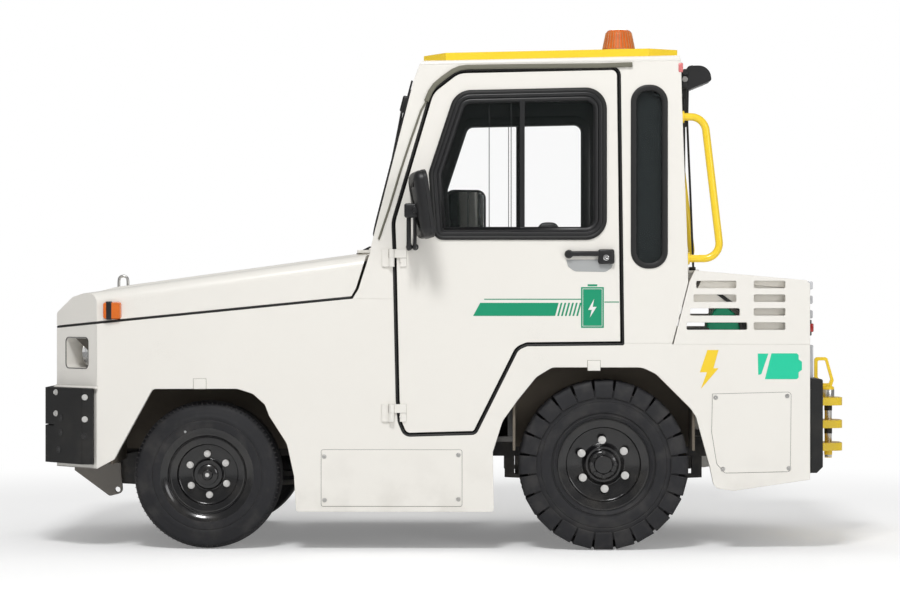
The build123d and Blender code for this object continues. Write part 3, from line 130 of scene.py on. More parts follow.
# %% Camera
camera_data = bpy.data.cameras.new("camera")
camera_data.sensor_width = 36
camera_data.lens = 101.3
camera = bpy.data.objects.new("camera", camera_data)
camera.location = (0.154, -10.72, 0.991)
camera.rotation_euler = (radians(90), 0, radians(0.9))
bpy.context.scene.collection.objects.link(camera)
bpy.context.scene.camera = camera
bpy.context.scene.view_settings.view_transform = "Standard"
print("camera", tuple(camera.location))

# %% [markdown]
# Shader arithmetic. A material's maths is easiest to read as plain sums, so a small class wraps a
# node's output and lets +, - and * add the Math nodes. One method makes any other node.

# %% Node maker


def pick(sockets, key):
    """Socket by place, or the first one in use with this name."""
    if isinstance(key, int):
        return sockets[key]
    return next(socket for socket in sockets if socket.name == key and socket.enabled)


class Maker:
    """Adds nodes to one tree."""

    def __init__(self, tree):
        self.tree = tree

    def make(self, kind, settings=None, inputs=None, output=0):
        """Adds a node, makes its settings, then fills its sockets with values or links."""
        node = self.tree.nodes.new(kind)
        for name, value in (settings or {}).items():
            setattr(node, name, value)
        for key, value in (inputs or {}).items():
            socket = pick(node.inputs, key)
            if isinstance(value, Wire):
                self.tree.links.new(value.socket, socket)
            else:
                socket.default_value = value
        return Wire(self, pick(node.outputs, output))


class Wire:
    """A node's output that takes part in sums."""

    def __init__(self, maker, socket):
        self.maker = maker
        self.socket = socket

    def math(self, operation, first, second):
        return self.maker.make("ShaderNodeMath", {"operation": operation}, {0: first, 1: second})

    def __add__(self, other):
        return self.math("ADD", self, other)

    __radd__ = __add__

    def __sub__(self, other):
        return self.math("SUBTRACT", self, other)

    def __rsub__(self, other):
        return self.math("SUBTRACT", other, self)

    def __mul__(self, other):
        return self.math("MULTIPLY", self, other)

    def limited(self):
        """Value kept between 0 and 1."""
        return self.maker.make("ShaderNodeClamp", None, {"Value": self})

    def ramp(self, low, high):
        """0 below low, 1 above high, smooth between."""
        return self.maker.make("ShaderNodeMapRange", {"interpolation_type": "SMOOTHSTEP"},
                               {"Value": self, "From Min": low, "From Max": high})


# %% [markdown]
# Finishes. Every surface of a used machine has a base colour that drifts a little, dust that
# gathers low down, edges that are rubbed brighter or darker, and a fine grain that breaks up the
# highlights. One recipe holds all of these, and each finish gives it other sizes, so that paint,
# rubber, plastic and steel are told apart by grain and gloss and not only by colour.

# %% The common recipe


def colour(red, green, blue):
    return (red, green, blue, 1.0)


class Finish(Maker):
    """A material whose nodes are made step by step."""

    def __init__(self, name):
        self.material = bpy.data.materials.new(name)
        self.material.use_nodes = True
        super().__init__(self.material.node_tree)
        self.shader = self.tree.nodes["Principled BSDF"]
        self.place = self.make("ShaderNodeTexCoord", None, None, "Object")

    def noise(self, scale, detail):
        """Cloudy pattern from 0 to 1, with this many waves to the metre."""
        return self.make("ShaderNodeTexNoise", None,
                         {"Vector": self.place, "Scale": scale, "Detail": detail}, 0)

    def cells(self, scale):
        """Distance to the nearest grain of a leathery or pebbled pattern."""
        return self.make("ShaderNodeTexVoronoi", None, {"Vector": self.place, "Scale": scale}, 0)

    def mix(self, factor, first, second):
        """Colour between two colours."""
        return self.make("ShaderNodeMix", {"data_type": "RGBA"},
                         {"Factor": factor, "A": first, "B": second}, "Result")

    def height(self):
        """Height above the ground, in metres."""
        return self.make("ShaderNodeSeparateXYZ", None, {"Vector": self.place}, "Z")

    def edges(self, radius):
        """1 on edges and 0 on flats, with the rounded normal that goes with it."""
        soft = self.make("ShaderNodeBevel", {"samples": 4}, {"Radius": radius})
        hard = self.make("ShaderNodeNewGeometry", None, None, "Normal")
        facing = self.make("ShaderNodeVectorMath", {"operation": "DOT_PRODUCT"},
                           {0: soft, 1: hard}, "Value")
        return (1 - facing).ramp(0.01, 0.2), soft

    def bump(self, height, distance, strength, normal=None):
        inputs = {"Height": height, "Distance": distance, "Strength": strength}
        if normal:
            inputs["Normal"] = normal
        return self.make("ShaderNodeBump", None, inputs)

    def set(self, **sockets):
        """Sets or links the shader's own sockets."""
        for name, value in sockets.items():
            socket = self.shader.inputs[name.replace("_", " ")]
            if isinstance(value, Wire):
                self.tree.links.new(value.socket, socket)
            else:
                socket.default_value = value
        return self.material


dust_colour = colour(0.30, 0.27, 0.23)
# How much rougher clouds, dust and grain make a surface
cloud_gloss, dust_gloss, grain_gloss = 0.12, 0.4, 0.06


def worn(name, base, wear, rough=0.4, metal=0.0, coat=0.0, grain=600, depth=0.00004, drift=0.08,
         round_edge=0.002, dust=0.25, dust_top=0.7, wear_share=0.5, under=None):
    """The common recipe: drift, dust, rubbed edges, grain, and a painted shade under a level."""
    finish = Finish(name)
    clouds = finish.noise(2.3, 5)
    speckle = finish.noise(grain, 2)
    darker = colour(*(channel * (1 - 2 * drift) for channel in base))
    lighter = colour(*(min(1, channel * (1 + drift)) for channel in base))
    tone = finish.mix(clouds, darker, lighter)
    edge, soft_normal = finish.edges(round_edge)
    wear_and_glint = (edge * finish.noise(38, 4).ramp(0.42, 0.62) * wear_share).limited()
    tone = finish.mix(wear_and_glint, tone, colour(*wear))
    low = (1 - finish.height().ramp(0.1, dust_top)) * finish.noise(9, 6).ramp(0.38, 0.75) * dust
    tone = finish.mix(low.limited(), tone, dust_colour)
    # Painted shade: below the level the colour turns to the given dark shade
    if under:
        level, shade = under
        tone = finish.mix(1 - finish.height().ramp(level, level + 0.006), tone, colour(*shade))
    gloss = rough + (clouds - 0.5) * cloud_gloss + low * dust_gloss + (speckle - 0.5) * grain_gloss
    relief = finish.bump(speckle, depth, 0.6, soft_normal)
    finish.set(Base_Color=tone, Roughness=gloss.limited(), Metallic=metal, Coat_Weight=coat,
               Normal=relief)
    return finish.material


# %% Paints
cream = dict(base=(0.87, 0.845, 0.79), wear=(0.62, 0.58, 0.52), rough=0.30, coat=0.35, grain=420,
             depth=0.00003, drift=0.012, round_edge=0.004, dust=0.16, dust_top=0.5, wear_share=0.22)
cream_paint = worn("cream_paint", **cream)
# The lashing-eye plates hang in the nose's shade, under this level, which is painted on as a dark brown
# shade
nose_paint = worn("nose_paint", **cream, under=(0.322, (0.20, 0.18, 0.155)))
yellow_paint = worn("yellow_paint", (0.98, 0.68, 0.025), (0.30, 0.20, 0.06), rough=0.34, coat=0.3,
                    grain=380, drift=0.04, wear_share=0.45, dust=0.05)
chassis_paint = worn("chassis_paint", (0.022, 0.021, 0.021), (0.10, 0.085, 0.07), rough=0.42,
                     grain=500, depth=0.00008, drift=0.15, dust=0.5)
underseal = worn("underseal", (0.17, 0.145, 0.115), (0.15, 0.13, 0.10), rough=0.9, grain=130,
                 depth=0.0012, drift=0.2, dust=0.3, dust_top=0.9)
rim_paint = worn("rim_paint", (0.005, 0.005, 0.006), (0.08, 0.08, 0.08), rough=0.22, coat=0.4,
                 grain=420, drift=0.1, dust=0.10, round_edge=0.003)
battery_paint = worn("battery_paint", (0.10, 0.11, 0.12), (0.25, 0.25, 0.25), rough=0.45, dust=0.2)
floor_paint = worn("floor_paint", (0.03, 0.03, 0.03), (0.12, 0.11, 0.10), rough=0.55, grain=220,
                   depth=0.0004)

# %% Rubber, plastic and metal
seal_rubber = worn("seal_rubber", (0.009, 0.009, 0.009), (0.06, 0.06, 0.06), rough=0.55, grain=700,
                   depth=0.00006, round_edge=0.0015, dust=0.1)
bumper_rubber = worn("bumper_rubber", (0.005, 0.005, 0.005), (0.05, 0.048, 0.047), rough=0.6,
                     grain=320, depth=0.0004, round_edge=0.004, dust=0.09, dust_top=0.8)
black_plastic = worn("black_plastic", (0.010, 0.010, 0.011), (0.07, 0.07, 0.07), rough=0.42,
                     grain=900, depth=0.00012, round_edge=0.002, dust=0.05)
bolt_steel = worn("bolt_steel", (0.62, 0.61, 0.59), (0.35, 0.30, 0.25), rough=0.28, metal=1.0,
                  grain=700, drift=0.1, dust=0.08, round_edge=0.001)
nut_steel = worn("nut_steel", (0.80, 0.79, 0.77), (0.45, 0.42, 0.38), rough=0.32, metal=0.6,
                 grain=700, drift=0.06, dust=0.05, round_edge=0.001)
dark_steel = worn("dark_steel", (0.16, 0.15, 0.14), (0.45, 0.43, 0.40), rough=0.45, metal=0.9,
                  grain=300, drift=0.2, dust=0.4)
chrome = worn("chrome", (0.80, 0.80, 0.80), (0.60, 0.60, 0.60), rough=0.08, metal=1.0, grain=500,
              depth=0.00001, drift=0.03, dust=0.05)
mirror_silver = worn("mirror_silver", (0.86, 0.88, 0.88), (0.7, 0.7, 0.7), rough=0.04, metal=1.0,
                     grain=60, depth=0.000004, drift=0.01, dust=0.0)
# Dark grey-olive painted shade: the shadow along the drip rails and a shade line round the liner clips
gutter_grey = worn("gutter_grey", (0.17, 0.165, 0.125), (0.3, 0.29, 0.25), rough=0.45, grain=300,
                   dust=0.0)
# Dark brown painted shadow, for the sheet in each lamp box
bay_brown = worn("bay_brown", (0.11, 0.10, 0.085), (0.2, 0.18, 0.16), rough=0.7, grain=300, dust=0.0)
sheet_grey = worn("sheet_grey", (0.42, 0.43, 0.43), (0.6, 0.6, 0.6), rough=0.38, grain=300, dust=0.1)
sticker = dict(rough=0.35, grain=500, drift=0.02, dust=0.0)
decal_green = worn("decal_green", (0.004, 0.31, 0.155), (0.4, 0.5, 0.4), **sticker)
decal_mint = worn("decal_mint", (0.012, 0.62, 0.36), (0.4, 0.6, 0.5), **sticker)
decal_yellow = worn("decal_yellow", (0.95, 0.66, 0.03), (0.5, 0.4, 0.2), **sticker)
decal_white = worn("decal_white", (0.86, 0.86, 0.84), (0.6, 0.6, 0.6), **sticker)


# %% Tyre rubber


def tyre_finish():
    """Matt black rubber that greys with road dust, mostly on the tread."""
    finish = Finish("tyre_rubber")
    clouds = finish.noise(5, 6)
    fine = finish.noise(260, 3)
    edge, soft_normal = finish.edges(0.003)
    tone = finish.mix(clouds, colour(0.008, 0.008, 0.010), colour(0.020, 0.020, 0.023))
    tone = finish.mix((edge * 0.35).limited(), tone, colour(0.085, 0.08, 0.072))
    dusty = finish.noise(14, 6).ramp(0.45, 0.75) * 0.22
    tone = finish.mix(dusty, tone, colour(0.10, 0.093, 0.085))
    gloss = (0.62 + (clouds - 0.5) * 0.2 + (fine - 0.5) * 0.1).limited()
    relief = finish.bump(fine, 0.0006, 0.5, soft_normal)
    return finish.set(Base_Color=tone, Roughness=gloss, Normal=relief, Specular_IOR_Level=0.4)


tyre_rubber = tyre_finish()

# %% Seat cover


def seat_finish():
    """Black grained vinyl: small leathery cells with a soft sheen."""
    finish = Finish("seat_vinyl")
    pebbles = finish.cells(420)
    clouds = finish.noise(7, 4)
    tone = finish.mix(clouds, colour(0.018, 0.018, 0.019), colour(0.034, 0.034, 0.036))
    tone = finish.mix(pebbles.ramp(0.0, 0.5), colour(0.010, 0.010, 0.010), tone)
    gloss = (0.46 + (clouds - 0.5) * 0.16).limited()
    relief = finish.bump(pebbles, 0.0007, 0.5)
    return finish.set(Base_Color=tone, Roughness=gloss, Normal=relief, Sheen_Weight=0.1)


seat_vinyl = seat_finish()

# %% Glass and lenses


def clear_finish(name, tint, rough, clearness):
    """Glass or lens plastic that lets through this share of the light."""
    finish = Finish(name)
    finish.set(Base_Color=colour(*tint), Roughness=rough, Alpha=1 - clearness, Specular_IOR_Level=0.5,
               IOR=1.45)
    return finish.material


window_glass = clear_finish("window_glass", (0.20, 0.25, 0.24), 0.01, 0.985)
smoked_film = clear_finish("smoked_film", (0.016, 0.020, 0.021), 0.10, 0.06)
lamp_glass = clear_finish("lamp_glass", (0.92, 0.94, 0.95), 0.03, 0.80)


def amber_finish(name, bright, deep):
    """Moulded lens plastic that is deeper in colour in places, with a painted highlight along its
    edges.
    """
    finish = Finish(name)
    clouds = finish.noise(26, 3)
    edge, soft_normal = finish.edges(0.002)
    tone = finish.mix(clouds, colour(*deep), colour(*bright))
    # Painted highlight: the lens's edges are lit up to a brighter tone of its own colour
    wear_and_glint = colour(*(min(1, 1.3 * channel) for channel in bright))
    tone = finish.mix((edge * 0.4).limited(), tone, wear_and_glint)
    gloss = (0.12 + clouds * 0.1).limited()
    relief = finish.bump(finish.noise(240, 1), 0.0004, 0.4, soft_normal)
    return finish.set(Base_Color=tone, Roughness=gloss, Coat_Weight=0.5, Normal=relief)


amber_lens = amber_finish("amber_lens", (0.86, 0.22, 0.02), (0.60, 0.09, 0.008))
amber_pale = amber_finish("amber_pale", (0.70, 0.36, 0.16), (0.45, 0.17, 0.06))
pink_lens = amber_finish("pink_lens", (0.80, 0.26, 0.26), (0.62, 0.12, 0.12))
red_lens = amber_finish("red_lens", (0.60, 0.02, 0.02), (0.30, 0.01, 0.01))
grey_lens = amber_finish("grey_lens", (0.66, 0.67, 0.69), (0.50, 0.51, 0.53))
print("finishes", len(bpy.data.materials))

# %% [markdown]
# Carried-over parts. Most solid parts of the frame already have their right shape, so they keep it
# and only get a finish in place of the plain colour that came with the file.

# %% Finishes for the frame's own parts
node_finish = {
    nose_paint: ["nose"],
    cream_paint: ["hood", "body_sides", "cab_sides", "cab_front", "cab_back", "cab_roof",
                  "rear_sides", "rear_panel", "rear_lid", "door_left", "door_right"],
    yellow_paint: ["roof_plate", "grab_handles", "hitch", "hitch_pin"],
    chassis_paint: ["chassis_frame", "front_axle", "leaf_springs", "knuckle_left", "knuckle_right",
                    "tie_rod"],
    dark_steel: ["rear_axle"],
    underseal: ["wheel_wells"],
    floor_paint: ["cab_floor"],
    battery_paint: ["battery_block"],
    rim_paint: ["front_rim_left", "front_rim_right", "rear_rim_left", "rear_rim_right"],
    bumper_rubber: ["bumpers"],
    black_plastic: ["dashboard", "steering", "rear_lamps", "door_fittings_left",
                    "door_fittings_right"],
    window_glass: ["cab_glass", "door_glass_left", "door_glass_right"],
    amber_lens: ["indicators", "beacon"],
    lamp_glass: ["headlamps"],
    tyre_rubber: ["front_tyre_left", "front_tyre_right", "rear_tyre_left", "rear_tyre_right"],
    seat_vinyl: ["seat_pads"],
}
for finish, names in node_finish.items():
    for name in names:
        nodes[name].data.materials.clear()
        nodes[name].data.materials.append(finish)
dressed = {name for names in node_finish.values() for name in names}
print("left without a finish:", sorted(set(nodes) - dressed))

# %% [markdown]
# Shared making steps. A piece is a mesh in the object's own frame, with its faces turned outwards
# and only its real corners left sharp, and it rides on the body that carries it.

# %% Piece makers
finishes_of_slot = {
    "body_paint": [cream_paint, nose_paint], "yellow_paint": [yellow_paint],
    "frame_black": [chassis_paint], "well_black": [underseal], "rim_black": [rim_paint],
    "bumper_rubber": [seal_rubber, bumper_rubber], "black_plastic": [black_plastic],
    "tyre_rubber": [tyre_rubber], "seat_vinyl": [seat_vinyl], "floor_black": [floor_paint],
    "pin_steel": [bolt_steel, nut_steel, dark_steel, chrome, mirror_silver, sheet_grey],
    "window_glass": [window_glass, smoked_film], "lamp_lens": [lamp_glass, grey_lens],
    "amber_lens": [amber_pale, amber_lens, red_lens, pink_lens],
}
slot_of = {finish: slot for slot, finishes in finishes_of_slot.items() for finish in finishes}


def finished(mesh, name, material, body="chassis", bevel=0.0, replaces=(), smooth=35):
    """Makes a mesh, or a list of them, one object on its body, with outward faces and a finish."""
    mesh = joined(mesh) if isinstance(mesh, list) else mesh
    shape = bmesh.new()
    shape.from_mesh(mesh)
    bmesh.ops.remove_doubles(shape, verts=shape.verts, dist=1e-6)
    bmesh.ops.recalc_face_normals(shape, faces=shape.faces)
    shape.to_mesh(mesh)
    shape.free()
    mesh.shade_smooth()
    mesh.set_sharp_from_angle(angle=radians(smooth))
    mesh.materials.clear()
    mesh.materials.append(material)
    piece = bpy.data.objects.new(name, mesh)
    bpy.context.scene.collection.objects.link(piece)
    if bevel:
        softened = piece.modifiers.new("soft edge", "BEVEL")
        softened.width = bevel * MM
        softened.segments = 2
        softened.limit_method = "ANGLE"
        softened.angle_limit = radians(30)
    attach(piece, body)
    if replaces:
        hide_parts(*replaces)
    material in slot_of
    return piece


def mesh_of(name, points, faces):
    mesh = bpy.data.meshes.new(name)
    mesh.from_pydata(points, [], faces)
    return mesh


def joined(meshes):
    """One mesh from several, which are used up."""
    shape = bmesh.new()
    for mesh in meshes:
        shape.from_mesh(mesh)
        bpy.data.meshes.remove(mesh)
    result = bpy.data.meshes.new("joined")
    shape.to_mesh(result)
    shape.free()
    return result


def helper_object(data):
    """Object that is only there while a mesh is being made."""
    holder = bpy.data.objects.new("shape", data)
    bpy.context.scene.collection.objects.link(holder)
    return holder


def evaluated(holder):
    """Plain mesh of an object and its modifiers. The object is used up."""
    graph = bpy.context.evaluated_depsgraph_get()
    mesh = bpy.data.meshes.new_from_object(holder.evaluated_get(graph))
    bpy.data.objects.remove(holder)
    return mesh


def drawn(curve):
    """Plain mesh of a curve, which is used up."""
    holder = helper_object(curve)
    bpy.context.view_layer.update()
    mesh = bpy.data.meshes.new_from_object(holder)
    bpy.data.objects.remove(holder)
    bpy.data.curves.remove(curve)
    return mesh


def prism_faces(count):
    """Both ends and the sides of a form whose corners are one outline, twice."""
    ends = [list(range(count)), list(range(2 * count - 1, count - 1, -1))]
    return ends + [[i, (i + 1) % count, (i + 1) % count + count, i + count] for i in range(count)]


def slab(points, place, start, end):
    """Outline drawn out between two depths."""
    corners = [place(*point, out) for out in (start, end) for point in points]
    return mesh_of("slab", corners, prism_faces(len(points)))


def carried(points, place, section, closed):
    """Corners and faces of a section, rows of sideways and out, that follows a line."""
    count, rows, corners, faces = len(points), len(section), [], []
    for point, way in zip(points, outward(points, closed)):
        corners += [place(*(point + way * sideways), out) for sideways, out in section]
    for i in range(count if closed else count - 1):
        for j in range(rows):
            k, after = (j + 1) % rows, (i + 1) % count
            faces.append([i * rows + j, after * rows + j, after * rows + k, i * rows + k])
    return corners, faces


def ring_frame(points, place, section):
    """Section of rows inwards and out, carried all round a closed outline."""
    section = [(-inwards, out) for inwards, out in section]
    return mesh_of("ring", *carried(points, place, section, True))


def strip(points, place, section):
    """Section of rows sideways and out, carried along an open line and closed at both ends."""
    corners, faces = carried(points, place, section, False)
    last, rows = len(corners) - 1, len(section)
    return mesh_of("strip", corners, faces + [list(range(rows)), list(range(last, last - rows, -1))])


def stacked(points, place, rows):
    """Closed form from one outline, set in by its own amount at each depth."""
    corners, faces, count = [], [], len(points)
    for inset, out in rows:
        corners += [place(point.x, point.y, out) for point in grown(points, -inset)]
    for low in range(0, count * (len(rows) - 1), count):
        faces += [[low + i, low + (i + 1) % count, low + (i + 1) % count + count, low + i + count]
                  for i in range(count)]
    faces.append(list(range(count)))
    faces.append(list(range(len(corners) - 1, len(corners) - count - 1, -1)))
    return mesh_of("stacked", corners, faces)


def plate(outlines, place, start, end):
    """Flat sheet between two depths: the first outline less the holes that follow it."""
    flat = bpy.data.curves.new("plate", "CURVE")
    flat.dimensions = "2D"
    flat.fill_mode = "BOTH"
    flat.extrude = 0.5
    for points in outlines:
        line = flat.splines.new("POLY")
        line.points.add(len(points) - 1)
        for control, point in zip(line.points, points):
            control.co = (point.x, point.y, 0, 1)
        line.use_cyclic_u = True
    mesh = drawn(flat)
    for vertex in mesh.vertices:
        across, up, depth = vertex.co
        vertex.co = place(across, up, start + (end - start) * (depth + 0.5))
    return mesh


def corners_of(*rows):
    """Plain outline from rows of across and up."""
    return [Vector(row) for row in rows]


def rectangle(left, low, right, high):
    return corners_of((left, low), (right, low), (right, high), (left, high))


def turned(rows, origin, axis, steps=64):
    """Rows of distance along and radius, turned about an axis. A radius of 0 closes the end."""
    axis = Vector(axis).normalized()
    side = axis.orthogonal().normalized()
    other = axis.cross(side)
    corners, faces, rings = [], [], []
    for along, radius in rows:
        ring = []
        for step in range(steps if radius else 1):
            angle = 2 * pi * step / steps
            way = side * cos(angle) + other * sin(angle)
            ring.append(len(corners))
            corners.append((Vector(origin) + axis * along + way * radius) * MM)
        rings.append(ring)
    for low, high in zip(rings, rings[1:]):
        for step in range(steps):
            a, b = low[step % len(low)], low[(step + 1) % steps % len(low)]
            c, d = high[(step + 1) % steps % len(high)], high[step % len(high)]
            face_corners = list(dict.fromkeys((a, b, c, d)))
            if len(face_corners) > 2:
                faces.append(face_corners)
    return mesh_of("turned", corners, faces)


def pipe(points, radius, round_steps=6, smooth=True):
    """Round bar along a line of points."""
    line = bpy.data.curves.new("pipe", "CURVE")
    line.dimensions = "3D"
    line.bevel_depth = radius * MM
    line.bevel_resolution = round_steps
    line.use_fill_caps = True
    path = line.splines.new("NURBS" if smooth else "POLY")
    path.points.add(len(points) - 1)
    for control, point in zip(path.points, points):
        control.co = (*(Vector(point) * MM), 1)
    if smooth:
        path.use_endpoint_u = True
        path.order_u = 3
        path.resolution_u = 8
    return drawn(line)


def side_pipe(y, points, radius):
    """Round bar drawn in the side view, at one distance from the middle."""
    return pipe([(along, y, up) for along, up in points], radius)


def rounded_box(centre, size, radius, tilt=0, steps=3):
    """Box with every edge rounded, tilted about Y by degrees."""
    shape = bmesh.new()
    bmesh.ops.create_cube(shape, size=1)
    bmesh.ops.scale(shape, vec=Vector(size) * MM, verts=shape.verts)
    bmesh.ops.bevel(shape, geom=list(shape.edges) + list(shape.verts), offset=radius * MM,
                    segments=steps, profile=0.5, affect="EDGES")
    placed = Matrix.Translation(Vector(centre) * MM) @ Matrix.Rotation(radians(tilt), 4, "Y")
    bmesh.ops.transform(shape, matrix=placed, verts=shape.verts)
    mesh = bpy.data.meshes.new("box")
    shape.to_mesh(mesh)
    shape.free()
    return mesh


# %% [markdown]
# What repeats. Bolts, nuts, tread blocks and ribs are one shape many times over, so a node tree
# sets copies of it on a few points, each turned its own way, and then makes one real mesh of them.
# One tree makes bolts from named sizes, and the other copies any shape that it is given.

# %% Trees that set copies


class Grower(Maker):
    """A geometry tree with its inputs at hand by name."""

    def __init__(self, name, **kinds):
        tree = bpy.data.node_groups.new(name, "GeometryNodeTree")
        tree.interface.new_socket("Geometry", in_out="OUTPUT", socket_type="NodeSocketGeometry")
        for title, kind in {"Geometry": "Geometry", **kinds}.items():
            tree.interface.new_socket(title, in_out="INPUT", socket_type="NodeSocket" + kind)
        super().__init__(tree)
        self.entry = tree.nodes.new("NodeGroupInput")

    def given(self, name):
        return Wire(self, self.entry.outputs[name])

    def attribute(self, name):
        """Vector that each point carries under this name."""
        return self.make("GeometryNodeInputNamedAttribute", {"data_type": "FLOAT_VECTOR"},
                         {"Name": name}, "Attribute")

    def close(self, shape, turn):
        """Sets the shape on each point, makes the copies real in their finish and ends the tree."""
        copies = self.make("GeometryNodeInstanceOnPoints", None,
                           {"Points": self.given("Geometry"), "Instance": shape, "Rotation": turn})
        real = self.make("GeometryNodeRealizeInstances", None, {"Geometry": copies})
        coloured = self.make("GeometryNodeSetMaterial", None,
                             {"Geometry": real, "Material": self.given("Material")})
        ending = self.tree.nodes.new("NodeGroupOutput")
        self.tree.links.new(coloured.socket, ending.inputs[0])
        return self.tree


def bolt_tree():
    """Hexagon head on a washer, with a round stud end, at each point."""
    grower = Grower("set bolts", Flats="Float", Head="Float", Washer="Float", Stud="Float",
                    Material="Material")
    flats, head, washer, stud = (grower.given(name) for name in ("Flats", "Head", "Washer", "Stud"))
    corner_share, stud_share, washer_thickness = 0.577, 0.28, 0.25
    bolt = grower.tree.nodes.new("GeometryNodeJoinGeometry")
    for sides, radius, top in ((6, flats * corner_share, head), (20, washer, head * washer_thickness),
                               (16, flats * stud_share, stud)):
        shaft = grower.make("GeometryNodeMeshCylinder", None,
                            {"Vertices": sides, "Radius": radius, "Depth": top}, "Mesh")
        lift = grower.make("ShaderNodeCombineXYZ", None, {"Z": top * 0.5})
        part = grower.make("GeometryNodeTransform", None, {"Geometry": shaft, "Translation": lift})
        grower.tree.links.new(part.socket, bolt.inputs[0])
    turn = grower.make("FunctionNodeAlignRotationToVector", {"axis": "Z"},
                       {"Vector": grower.attribute("out")})
    return grower.close(Wire(grower, bolt.outputs[0]), turn)


def copy_tree():
    """A given object at each point, turned by the angles that its point carries."""
    grower = Grower("set copies", Shape="Object", Material="Material")
    shape = grower.make("GeometryNodeObjectInfo", {"transform_space": "ORIGINAL"},
                        {"Object": grower.given("Shape")}, "Geometry")
    return grower.close(shape, grower.attribute("turn"))


bolts, copier = bolt_tree(), copy_tree()


def grow(tree, points, attribute, vectors, **values):
    """Runs a tree on a few points and returns the plain mesh that it makes."""
    mesh = mesh_of("points", [Vector(point) * MM for point in points], [])
    layer = mesh.attributes.new(attribute, "FLOAT_VECTOR", "POINT")
    for item, vector in zip(layer.data, vectors):
        item.vector = vector
    holder = helper_object(mesh)
    modifier = holder.modifiers.new("grow", "NODES")
    modifier.node_group = tree
    for item in tree.interface.items_tree:
        if item.in_out == "INPUT" and item.name in values:
            modifier[item.identifier] = values[item.name]
    return evaluated(holder)


def set_bolts(name, points, way, flats, body="chassis", head=None, washer=None, stud=None,
              material=bolt_steel):
    """Bolts at points, in millimetres. They all face one way, or each has its own in a list."""
    ways = way if isinstance(way, list) else [way] * len(points)
    head = head or flats * 0.6
    washer = washer or flats * 0.75
    stud = stud or head * 1.25
    mesh = grow(bolts, points, "out", ways, Flats=flats * MM, Head=head * MM, Washer=washer * MM,
                Stud=stud * MM, Material=material)
    return finished(mesh, name, material, body)


# %% [markdown]
# Windows. Each pane sits in a black rubber and metal frame, and that dark border is the strongest
# line on the cab. A section drawn once and carried round the window's outline gives the bead, the
# step and the inner lip in one piece, inside and outside.

# %% Door windows
bead_section = [(-4, -5), (-4, 4), (0, 9), (6, 11), (12, 9), (15, 4), (15, -5)]
outer_frame_section = [(13, -8), (13, 6), (18, 8), (27, 6), (31, 0), (36, 2), (43, 0), (48, -6),
                       (48, -13), (13, -13)]
inner_frame_section = [(6, -30), (6, -46), (14, -49), (36, -47), (46, -38), (46, -21), (20, -21),
                       (20, -30)]


for side, sign in SIDES:
    outside = side_face(sign)
    window = rounded(door_window, 12)
    bead = ring_frame(window, outside, bead_section)
    finished(bead, f"window_bead_{side}", seal_rubber, f"door_{side}")
    frames = [ring_frame(window, outside, section)
              for section in (outer_frame_section, inner_frame_section)]
    frames.append(slab(rectangle(273, 1270, 292, 1800), outside, -34, -2))
    frames += [slab(rectangle(x, 1275, x + 3, 1790), outside, -27, -21) for x in (150, 237)]
    finished(frames, f"window_frame_{side}", black_plastic, f"door_{side}", bevel=0.8)
print("door windows framed")

# %% Quarter windows, windscreen and rear window
# Width, height and corner radius of the windscreen and the rear window, and their middles
screen_size, back_size = (1200, 560, 60), (1040, 500, 60)
screen_middle, back_middle = (-229, 0, 1539), (932, 0, 1550)
screen_run, screen_rise = 166, 644
screen_lean = atan2(screen_run, screen_rise)
screen_place = face(screen_middle, (0, -1, 0), (sin(screen_lean), 0, cos(screen_lean)))
back_place = face(back_middle, (0, 1, 0), (0, 0, 1))
lip_behind = [(10, -cab_wall - 2), (-10, -cab_wall - 5), (-10, -cab_wall + 1), (0, -cab_wall + 2),
              (0, -4)]
fixed_section = [(-12, -4), (-12, 3), (-6, 6), (4, 6), (10, 2)] + lip_behind
screen_section = [(-26, -4), (-26, 8), (-18, 13), (4, 9), (10, 3)] + lip_behind
back_section = [(-14, -8), (-14, 4), (-6, 8), (4, 8), (10, 3), (10, -30), (0, -30), (0, -8)]


def window_rows(width, height, radius):
    return [(-width / 2, -height / 2, radius), (width / 2, -height / 2, radius),
            (width / 2, height / 2, radius), (-width / 2, height / 2, radius)]


seals = [ring_frame(rounded(quarter_window, 10), side_face(sign), fixed_section)
         for side, sign in SIDES]
seals.append(ring_frame(rounded(window_rows(*screen_size), 10), screen_place, screen_section))
seals.append(ring_frame(rounded(window_rows(*back_size), 10), back_place, back_section))
finished(seals, "fixed_window_seals", seal_rubber)

# %% [markdown]
# Door gaps. From the side the doors are drawn by a black line all round. It is a rubber bulb on the
# door frame, with a lip behind the door that it closes against, so no light comes through.

# %% Door seals
bulb_section = [(-8, -5), (-4, -3), (0, -5), (1, -12), (0, -24), (-8, -27)]
lip_section = [(-24, -43), (-24, -50), (10, -50), (13, -46), (10, -43)]
door_edge = rounded(door_line, 10)
for side, sign in SIDES:
    rings = [ring_frame(door_edge, side_face(sign), section)
             for section in (bulb_section, lip_section)]
    finished(rings, f"door_seal_{side}", seal_rubber)

